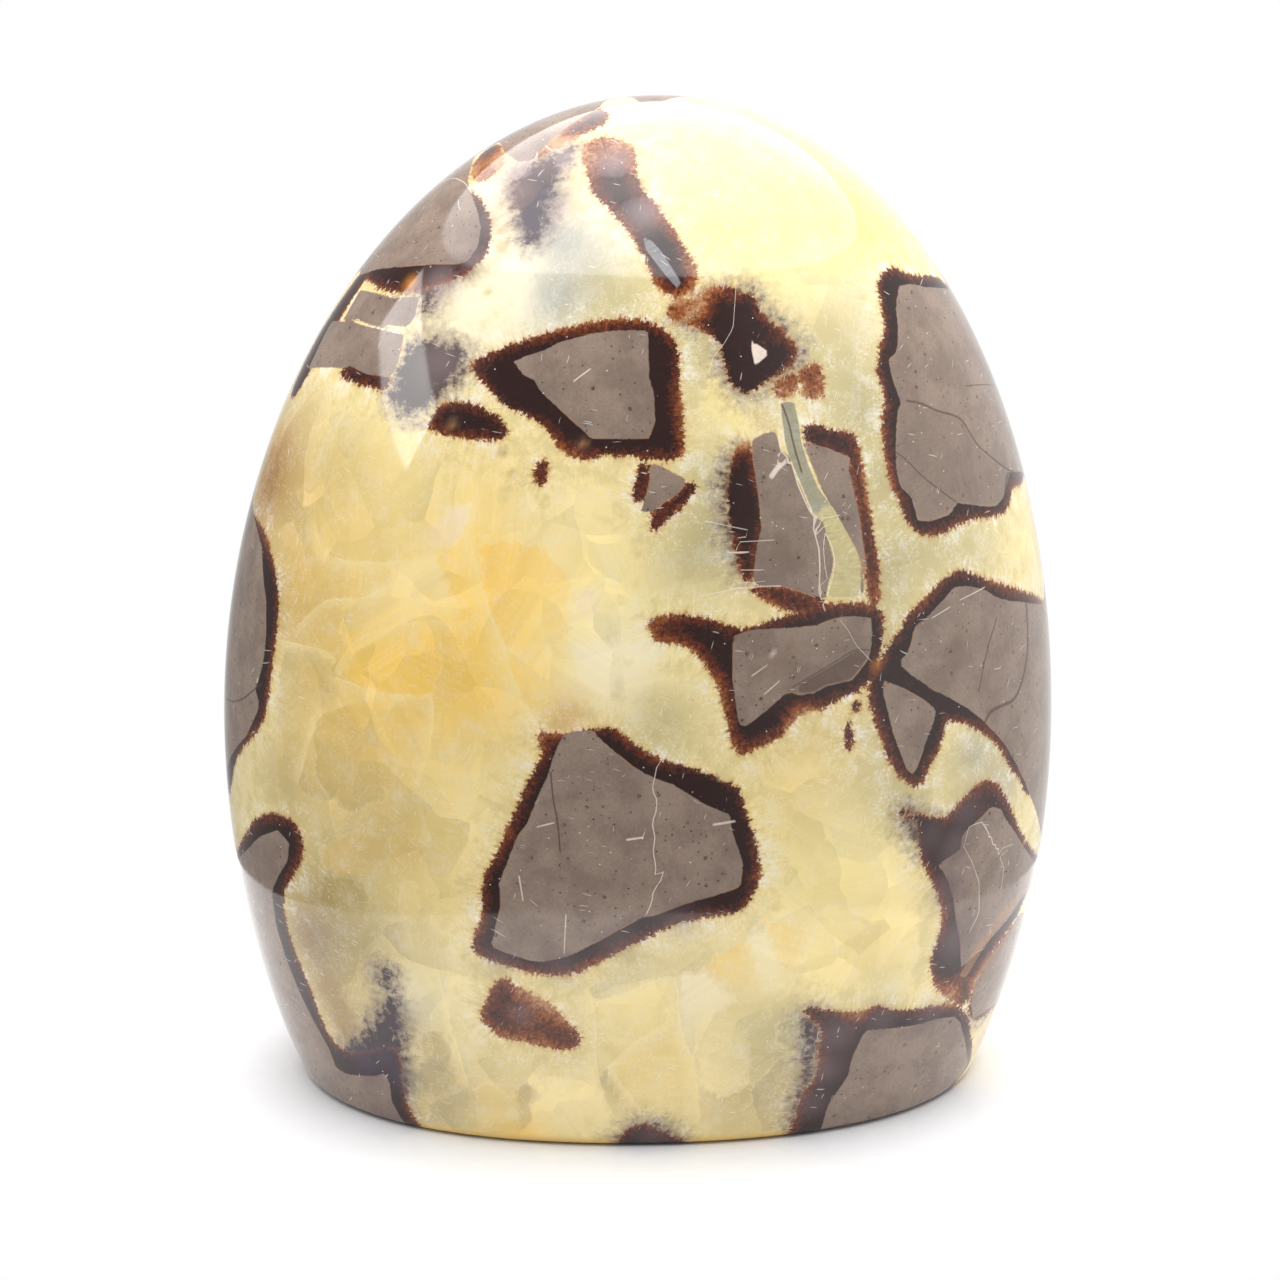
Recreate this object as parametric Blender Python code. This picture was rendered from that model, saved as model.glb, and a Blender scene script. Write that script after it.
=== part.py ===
"""A polished septarian nodule: an egg-shaped stone with a cut base that it stands on.

Run it with: blender --background --python part.py
Units are metres, +Z is up, +X is to the right and the main face looks along -Y. The origin is the
middle of the base, on the surface that the stone stands on.
"""
from math import asin, cos, pi, sin, sqrt

import bmesh
import bpy

# Driving dimensions of the stone, in metres
HALF_WIDTH = 0.0474
HALF_DEPTH = 0.0330
HALF_HEIGHT = 0.0725
WIDEST_LEVEL = 0.0406
CROWN_LEAN = 0.0022
BASE_EDGE = 0.0012

# How much fuller than an ellipse the level sections are, half way between their long and short axes
SECTION_FULLNESS = 0.064

# How finely the surface is divided
SECTION_SIDES = 96
SIDE_RINGS = 42
EDGE_RINGS = 3

# Polished calcite and mudstone, seen as one mean colour
STONE_COLOUR = (0.56, 0.47, 0.27, 1.0)
STONE_ROUGHNESS = 0.12


def clear_scene():
    """Remove every object that the file opens with."""
    for item in list(bpy.data.objects):
        bpy.data.objects.remove(item, do_unlink=True)


def section(level, inset=0.0):
    """One level section of the egg, as a closed list of points, moved in by inset."""
    rise = (level - WIDEST_LEVEL) / HALF_HEIGHT
    share = sqrt(max(0.0, 1.0 - rise * rise))
    middle = CROWN_LEAN * max(0.0, rise) ** 2
    half_width = HALF_WIDTH * share - inset
    half_depth = HALF_DEPTH * share - inset
    points = []
    for step in range(SECTION_SIDES):
        turn = 2.0 * pi * step / SECTION_SIDES
        x = half_width * cos(turn) * (1.0 + SECTION_FULLNESS * sin(turn) ** 2)
        y = half_depth * sin(turn) * (1.0 + SECTION_FULLNESS * cos(turn) ** 2)
        points.append((middle + x, y, level))
    return points


def blend_points(points, weights):
    """The weighted mean of some points."""
    return tuple(sum(w * p[axis] for w, p in zip(weights, points)) for axis in range(3))


def edge_rings():
    """The small round of the base edge, from the flat base up to the side."""
    base = section(0.0, inset=BASE_EDGE)
    corner = section(0.0)
    side = section(BASE_EDGE)
    rings = []
    for step in range(EDGE_RINGS + 1):
        along = step / EDGE_RINGS
        weights = ((1.0 - along) ** 2, 2.0 * along * (1.0 - along), along ** 2)
        rings.append([blend_points(trio, weights) for trio in zip(base, corner, side)])
    return rings


def side_levels():
    """Levels above the base edge, at even steps of the egg's own angle up to the crown."""
    start = asin((BASE_EDGE - WIDEST_LEVEL) / HALF_HEIGHT)
    turn = (0.5 * pi - start) / SIDE_RINGS
    return [WIDEST_LEVEL + HALF_HEIGHT * sin(start + turn * step) for step in range(1, SIDE_RINGS)]


def make_stone_mesh():
    """The closed skin: a flat base, a small round edge, the side and a crown point."""
    skin = bmesh.new()
    rings = edge_rings()
    rings += [section(level) for level in side_levels()]
    vertex_rings = [[skin.verts.new(point) for point in ring] for ring in rings]
    skin.faces.new(list(reversed(vertex_rings[0])))
    for lower, upper in zip(vertex_rings, vertex_rings[1:]):
        for side in range(SECTION_SIDES):
            beside = (side + 1) % SECTION_SIDES
            skin.faces.new((lower[side], lower[beside], upper[beside], upper[side]))
    crown = skin.verts.new((CROWN_LEAN, 0.0, WIDEST_LEVEL + HALF_HEIGHT))
    last = vertex_rings[-1]
    for side in range(SECTION_SIDES):
        skin.faces.new((last[side], last[(side + 1) % SECTION_SIDES], crown))
    mesh = bpy.data.meshes.new("stone")
    skin.to_mesh(mesh)
    skin.free()
    return mesh


def make_stone_material():
    """A glossy golden-grey stone."""
    material = bpy.data.materials.new("polished septarian stone")
    material.use_nodes = True
    shader = material.node_tree.nodes["Principled BSDF"]
    shader.inputs["Base Color"].default_value = STONE_COLOUR
    shader.inputs["Roughness"].default_value = STONE_ROUGHNESS
    shader.inputs["Metallic"].default_value = 0.0
    return material


def make_stone():
    """The nodule itself: one natural piece, so one object."""
    mesh = make_stone_mesh()
    mesh.shade_smooth()
    mesh.set_sharp_from_angle(angle=0.6)
    stone = bpy.data.objects.new("stone", mesh)
    stone.data.materials.append(make_stone_material())
    bpy.context.scene.collection.objects.link(stone)
    return stone


clear_scene()
make_stone()
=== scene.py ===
# The looks of a polished septarian nodule, an egg-shaped stone that stands on a cut base.
#
# Grey mudstone fragments with bristly brown rims lie in golden calcite, all flush with the polish.
# The piece is one fine skin of the stone. Each mark is an outline or a line that is laid on that skin,
# and the skin's points carry their distances from the marks, in millimetres. The material turns the
# distances into colours. Units are metres, +Z is up and the main face looks along -Y.
from math import asin, cos, pi, radians, sin

import bpy
import numpy as np
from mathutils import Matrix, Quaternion, Vector, noise
from mathutils.bvhtree import BVHTree


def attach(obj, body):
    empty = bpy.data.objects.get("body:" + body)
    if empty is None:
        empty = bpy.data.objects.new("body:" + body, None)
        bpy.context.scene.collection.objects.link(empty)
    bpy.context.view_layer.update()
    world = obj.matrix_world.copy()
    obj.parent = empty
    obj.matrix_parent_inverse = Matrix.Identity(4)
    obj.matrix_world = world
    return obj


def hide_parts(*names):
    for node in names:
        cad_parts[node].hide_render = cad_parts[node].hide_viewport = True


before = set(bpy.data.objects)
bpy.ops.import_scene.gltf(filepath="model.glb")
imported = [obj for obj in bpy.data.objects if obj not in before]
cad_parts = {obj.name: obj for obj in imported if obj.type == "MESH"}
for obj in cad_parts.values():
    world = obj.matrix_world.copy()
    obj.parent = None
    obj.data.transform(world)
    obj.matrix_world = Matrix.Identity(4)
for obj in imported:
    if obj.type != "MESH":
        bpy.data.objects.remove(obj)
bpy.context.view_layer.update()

MILLIMETRE = 0.001

# The stone's driving dimensions, as in the CAD part
HALF_WIDTH = 0.0474
HALF_DEPTH = 0.0330
HALF_HEIGHT = 0.0725
WIDEST_LEVEL = 0.0406
CROWN_LEAN = 0.0022
BASE_EDGE = 0.0012
SECTION_FULLNESS = 0.064

# How finely the skin is divided, and how much finer it is at the front than at the back
SECTION_SIDES = 340
SIDE_RINGS = 216
EDGE_RINGS = 5
BASE_RINGS = 34
FRONT_CROWDING = 0.3

# The camera, from the photograph: its frame is square, and pixel pairs below are in it
PHOTO_SIDE = 1280
FOCAL_PIXELS = 4200
SENSOR_WIDTH = 36.0
CAMERA_BEARING = radians(-2.0)
CAMERA_RISE = radians(17.0)
CAMERA_DISTANCE = 0.48
CAMERA_TARGET = Vector((0.0002, 0.0, 0.0507))

# The light overhead, the long one at the left, and the room, as brightnesses where white paper is 1
OVERHEAD_SIZE = (1.50, 1.83)
OVERHEAD_PLACE = (0.05, 0.35, 0.70)
OVERHEAD_BRIGHTNESS = 3.1
LEFT_SIZE = (0.62, 0.13)
LEFT_PLACE = (-0.60, -0.12, 0.40)
LEFT_TARGET = (0.0, 0.0, 0.06)
LEFT_ROLL = radians(-14.0)
LEFT_BRIGHTNESS = 5.0
ROOM_FRONT = (0.33, 0.33, 0.33, 1.0)
ROOM_BACK = (0.92, 0.92, 0.92, 1.0)
BRIGHT_SIDE = (0.94, 0.34, 0.0)
WHITE = (1.0, 1.0, 1.0, 1.0)

# The floor, which ends where its mirror image in the stone does
FLOOR_RADIUS = 0.088
FLOOR_SIDES = 96
FLOOR_GAP = 0.0001
FLOOR_GRAIN = 0.002
FLOOR_TONES = ((0.70, 0.70, 0.71, 1.0), (0.74, 0.74, 0.75, 1.0))
FLOOR_ROUGHNESS = 0.9
FLOOR_SHINE = 0.1

# How marks are laid and measured, in millimetres except where a name says otherwise
MOST_STEPS_IN = 40
STEP_IN = 0.004
FAR_OUT = 200.0
LINE_STEP = 0.5
CORNER_SHARE = 0.25
SHORT_LINE_POINTS = 4
NEXT_TO_NOTHING = 1e-9
OUTLINE_REACH = 22.0
PATCH_REACH = 3.0
LINE_REACH = 4.0
LEAST_FACING = -0.25
SIGHT_FADE = 0.12

# Rims out of sight: how wide they are, and how far the width and the tone change along them, by slow waves.
# In sight a fragment's own rim stays a little inside it, so that the outlines of rims decide.
HIDDEN_RIM = 1.7
RIM_WAVE = 7.0
RIM_SWELL = 0.7
RIM_UNEVENNESS = 0.45
CLEAR_OF_RIM = 0.3

# The depth at which a rim stops getting darker, and how much deeper it looks for each unit of tone
DEEPEST_RIM = 2.0
TONE_DEPTH = -1.3

# Waves of slow noise: their sizes and how far they move marks out of sight, crystals, and calcite's tone
HIDDEN_WAVES = ((7.0, 1.6), (2.2, 0.6))
LOOSE_WAVES = ((9.0, 2.2), (2.4, 0.4))
AXIS_SHIFT = 131.7
CLOUD_SIZE = 9.0
CLOUD = 0.06

# A fading crystal's strength: at its middle, how much it gains towards its first corner, and the least
FADE_MIDDLE = 0.6
FADE_GAIN = 0.4
FADE_LEAST = 0.1

# Threads stand out from the rims: how many waves of them there are to a millimetre, along and outwards
FIBRE_ALONG = 2.2
FIBRE_OUT = 0.45

# Facets of the calcite's crystals: how large they are and how strongly they are shaded from side to side,
# and the fine lines across them
FACETS = ((16.0, 0.4), (6.5, 0.24))
GROWTH_LINES = {"Scale": 0.9, "Detail": 5.0, "Roughness": 0.7}

# A noise lies mostly within this range, about this middle
NOISE_RANGE = (0.3, 0.7)
NOISE_MIDDLE = 0.5

# Dots: the size of the cells that they lie in, their radius in cell sizes, and the share of cells with one
PITS = ((0.75, 0.22, 0.5), (1.9, 0.16, 0.6))
SPECKS = (1.1, 0.09, 0.5)

# How much of a dot's radius is solid
SOLID_SHARE = 0.5

# Scratches are dots drawn out: how far they are turned, the size of their cells, and the share with one
SCRATCHES = ((14.0, (1.4, 2.4, 0.12), 0.01), (-70.0, (1.2, 2.0, 0.11), 0.007))
SCRATCH_RADIUS = 0.45

# The polish
STONE_IOR = 1.55
ROUGHNESS = 0.06
MUDSTONE_ROUGHER = 0.03
POLISH_BUMP = {"Strength": 0.25, "Distance": 0.0004}

# Noises: the size of their waves, which the floor's has in metres and all others in millimetres, how
# many finer ones they have, and how strong the finer ones are
NOISES = {
    "fibre": (1.0, 3.0, 0.65),
    "fine": (0.4, 3.0, 0.8),
    "slow": (5.0, 4.0, 0.6),
    "broad": (2.4, 5.0, 0.62),
    "crystal edge": (1.1, 3.0, 0.5),
    "smoke mottle": (0.9, 4.0, 0.7),
    "rim grain": (0.55, 4.0, 0.85),
    "mud mottle": (4.0, 4.0, 0.6),
    "mud grain": (0.3, 3.0, 0.8),
    "mud edge": (0.5, 2.0, 0.5),
    "polish": (14.0, 1.0, 0.5),
    "floor": (FLOOR_GRAIN, 2.0, 0.5),
}

# What a noise is spread to where it moves or shades something
SPREADS = {
    "crystal edge": (-0.35, 0.35),
    "growth lines": (-0.045, 0.045),
    "ragged fringe": (-2.0, 2.0),
    "thready cloud": (-0.06, 0.06),
    "comb": (-0.09, 0.09),
    "combed places": (0.0, 1.2),
    "seam strength": (-0.2, 0.5),
    "smoke mottle": (-1.1, 1.1),
    "smoke threads": (-0.4, 0.4),
    "rim grain": (-0.62, 0.62),
    "rim threads": (-0.6, 0.6),
    "rim light": (1.25, 0.75),
    "mud light": (0.87, 1.13),
    "mud edge": (-0.05, 0.05),
    "bristles": (-0.26, 0.26),
    "fray": (-0.3, 0.3),
    "streaks": (0.8, 1.2),
    "scratch": (0.45, 0.9),
    "dull places": (-0.015, 0.015),
}

# Where things fade in: the value at which there is nothing of them, and the one at which they are whole.
# A name that is also an ink's says where that ink does.
FADES = {
    "line": (1.3, 0.5),
    "line end": (0.75, 0.45),
    "crystals": (0.5, 5.0),
    "laid crystal": (0.4, -0.6),
    "crystal edge": (0.3, 0.0),
    "fringe": (5.0, 0.0),
    "sage": (0.5, 0.34),
    "ice": (0.52, 0.68),
    "white": (1.0, 1.25),
    "thread": (0.012, 0.0),
    "seam": (2.6, 0.3),
    "seam sheet": (24.0, 0.0),
    "seam side": (-0.4, 0.4),
    # foot: the height at which the painted glow of light along the base fades in
    "foot": (1.6, 0.3),
    "haze": (2.4, -0.8),
    "soot": (0.3, -1.3),
    "amber": (0.6, 0.0),
    "orange brown": (-1.4, -0.4),
    "chestnut": (-0.4, 0.3),
    "burnt": (0.35, 1.2),
    "rim": (0.14, -0.14),
    "mud mottle": (0.35, 0.65),
    "pits": (0.35, 0.6),
    "mudstone": (0.07, -0.07),
    "border": (0.12, 0.04),
    "border places": (0.5, 0.58),
    "patch": (0.08, -0.08),
    "room": (-0.2, 0.4),
}

# How much there is of things where they are whole, as a share
SHARES = {
    "crystal edge": 0.3,
    "fringe": 0.15,
    "thread": 0.3,
    "seam sheet": 0.3,
    "haze": 0.65,
    "soot": 0.9,
    "amber": 0.3,
    "border": 0.5,
    "crack": 0.75,
    "scratch": 0.7,
    "wear": 0.7,
}

# The same for what lies in the fringe round a rim: how much more there is in it, and how much everywhere
FRINGE_SHARES = {
    "sage": (0.3, 0.01),
    "ice": (0.4, 0.12),
    "white": (0.55, 0.1),
}


def seen(*pairs):
    """Points of a mark where the photograph shows them, as pixels across and down."""
    return [("seen", *pair) for pair in pairs]


def beside(*pairs):
    """Points of a mark round the stone: the bearing in degrees, 0 at the front and 90 at the right, and
    the height in millimetres."""
    return [("beside", *pair) for pair in pairs]


def over(*pairs):
    """Points of a mark on the crown, as millimetres to the right and back."""
    return [("over", *pair) for pair in pairs]


def under(*pairs):
    """Points of a mark on the base, as millimetres to the right and back."""
    return [("under", *pair) for pair in pairs]


def spots(kind, *rows):
    """Soft spots. The last two numbers of a row are its place, given as for marks of that kind."""
    return [(*row[:-2], (kind, *row[-2:])) for row in rows]


# Grey mudstone fragments
GREY = {
    "middle": seen(
        (565, 734), (571, 732), (593, 730), (601, 740), (633, 767), (652, 777), (674, 785), (705, 804),
        (730, 815), (732, 831), (743, 863), (740, 887), (713, 896), (684, 904), (656, 915), (640, 918),
        (574, 954), (558, 959), (542, 962), (527, 960), (507, 953), (491, 946), (501, 906), (499, 885),
        (516, 839), (528, 822), (537, 798), (548, 776), (553, 757), (560, 741)),
    "upper middle": seen(
        (513, 362), (519, 368), (523, 375), (535, 380), (538, 388), (547, 398), (560, 409), (591, 438),
        (621, 439), (649, 438), (655, 421), (654, 394), (649, 378), (648, 331), (629, 330), (611, 331),
        (591, 334), (560, 342), (545, 350), (529, 355)),
    "small wedge": seen(
        (650, 462), (664, 468), (685, 479), (684, 486), (678, 494), (666, 501), (650, 513), (641, 511),
        (650, 482)),
    "pillar left": seen(
        (752, 440), (764, 434), (774, 431), (779, 441), (779, 449), (789, 456), (793, 470), (812, 515),
        (823, 520), (834, 562), (829, 580), (826, 598), (813, 596), (783, 586), (762, 586), (753, 582),
        (755, 560), (758, 541), (762, 527), (753, 458)),
    "pillar right": seen(
        (802, 441), (823, 447), (850, 457), (849, 470), (859, 515), (866, 566), (864, 586), (864, 595),
        (860, 591), (861, 582), (860, 560), (856, 549), (836, 513), (823, 492)),
    "arrow": seen(
        (733, 637), (750, 630), (816, 626), (827, 621), (842, 617), (856, 616), (871, 618), (872, 631),
        (871, 648), (869, 658), (852, 680), (824, 687), (816, 693), (799, 695), (789, 691), (754, 721),
        (742, 728), (738, 719), (733, 682)),
    "dart": seen(
        (884, 681), (901, 687), (922, 699), (936, 709), (934, 722), (928, 736), (914, 775), (907, 769),
        (893, 732), (883, 693)),
    "right side": seen(
        (954, 587), (967, 586), (983, 589), (995, 597), (1011, 601), (1028, 603), (1042, 605))
    + beside((96, 59), (107, 56), (113, 49), (108, 40), (98, 32), (88, 28)) + seen(
        (1040, 831), (1028, 791), (1022, 775), (1013, 758), (1003, 742), (983, 720), (967, 708), (950, 698),
        (932, 689), (911, 675), (898, 663), (907, 654), (912, 642), (914, 628), (928, 616), (944, 599)),
    "right shoulder": seen((899, 286), (911, 284), (925, 287), (939, 288), (948, 290))
    + beside((98, 93), (110, 89), (118, 81), (112, 72), (99, 68)) + seen(
        (1023, 472), (1007, 472), (1005, 478), (1004, 497), (996, 506), (979, 506), (957, 503), (950, 514),
        (930, 521), (918, 520), (911, 497), (900, 486), (896, 467), (896, 433), (898, 411), (901, 402),
        (897, 392), (891, 372), (889, 359), (896, 354), (898, 345), (898, 326), (896, 311), (897, 299)),
    "lower right": seen((991, 807), (1001, 809), (1005, 818), (1023, 846), (1032, 860))
    + beside((86, 24), (92, 21), (86, 20)) + seen(
        (1030, 887), (1022, 897), (991, 938), (961, 968), (960, 942), (956, 921), (953, 897), (948, 880),
        (938, 864), (960, 850), (962, 836), (971, 826), (981, 818)),
    "below the band": seen((975, 982), (985, 962), (997, 948), (1020, 913))
    + beside((88, 18), (97, 13), (95, 7), (87, 7))
    + seen((999, 1001), (985, 1011), (973, 1019), (971, 1003)),
    "right foot": seen(
        (867, 1030), (883, 1029), (913, 1026), (936, 1019), (954, 1017), (960, 1023), (967, 1064),
        (964, 1078), (954, 1093)) + under((32, -7), (24, -8), (17, -15))
    + seen((822, 1126), (828, 1105), (848, 1076), (852, 1060), (858, 1044), (864, 1033)),
    "left side": seen(
        (256, 525), (262, 547), (266, 602), (266, 633), (264, 658), (260, 676), (255, 690), (259, 700),
        (258, 711), (247, 735), (234, 751), (226, 766))
    + beside((-97, 36), (-106, 44), (-112, 54), (-105, 64), (-94, 70)),
    "left foot": seen((289, 843), (278, 830), (261, 836), (247, 850), (238, 862))
    + beside((-100, 27), (-113, 20), (-114, 9)) + under((-33, 10), (-23, 3), (-19, -12)) + seen(
        (404, 1122), (392, 1102), (390, 1085), (385, 1073), (375, 1076), (346, 1074), (336, 1068),
        (329, 1049), (300, 993), (285, 955), (276, 925), (272, 891), (278, 877), (288, 860)),
    "top left": seen(
        (475, 154), (471, 168), (468, 180), (471, 194), (477, 209), (481, 227), (478, 247), (468, 260),
        (458, 264), (423, 265), (400, 267)) + beside((-85, 94), (-104, 93), (-112, 98), (-104, 104)),
    "left of the amber spot": seen((392, 298), (419, 297), (415, 317), (407, 327), (380, 325))
    + beside((-78, 90), (-79, 93)),
    "left brow": seen((378, 329), (404, 335), (398, 362), (391, 378), (366, 374), (351, 366), (341, 368))
    + beside((-82, 84), (-84, 89)),
    "crown": seen((500, 142), (505, 153), (518, 162), (534, 160), (550, 141), (592, 112), (600, 107))
    + over((-1, 9), (-9, 15), (-19, 12), (-21, 5)),
    "crown spot": seen((640, 103), (655, 105)) + over((8, 5), (4, 8), (-2, 6)),
}

# Fragments at the sides, the back and the base, which the photograph doesn't show
UNSEEN_GREY = {
    "back high right": beside(
        (136, 100), (150, 101), (163, 97), (165, 88), (160, 76), (150, 69), (139, 71), (131, 80),
        (131, 91)),
    "back high left": beside(
        (-172, 99), (-156, 103), (-138, 99), (-128, 89), (-130, 79), (-141, 75), (-150, 78), (-163, 76),
        (-174, 84)),
    "back wedge": beside((172, 79), (-179, 74), (-170, 72), (-176, 66), (174, 66), (167, 70)),
    "back middle": beside(
        (140, 63), (152, 62), (166, 60), (176, 58), (-179, 49), (178, 39), (166, 34), (153, 36), (146, 44),
        (137, 53)),
    "back sliver": beside((-168, 61), (-157, 67), (-150, 69), (-153, 61), (-161, 50), (-166, 52)),
    "back left": beside(
        (-146, 64), (-133, 66), (-123, 60), (-120, 50), (-127, 41), (-138, 35), (-149, 38), (-153, 46),
        (-149, 55)),
    "back low right": beside((113, 29), (127, 37), (139, 34), (144, 25), (141, 13), (130, 9), (118, 14)),
    "back low middle": beside((156, 26), (170, 27), (-176, 31), (-167, 25), (-164, 12))
    + under((-13, 17), (-4, 12), (8, 14)) + beside((155, 8), (151, 17)),
    "back low left": beside((-152, 25), (-140, 28), (-128, 25), (-126, 13), (-136, 7), (-148, 9)),
    "base right": under((15, -6), (27, 0), (31, 9), (22, 16), (12, 9)),
    "base middle": under((-14, -16), (-1, -21), (9, -17), (8, -7), (-3, -2), (-11, -6)),
}

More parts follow.
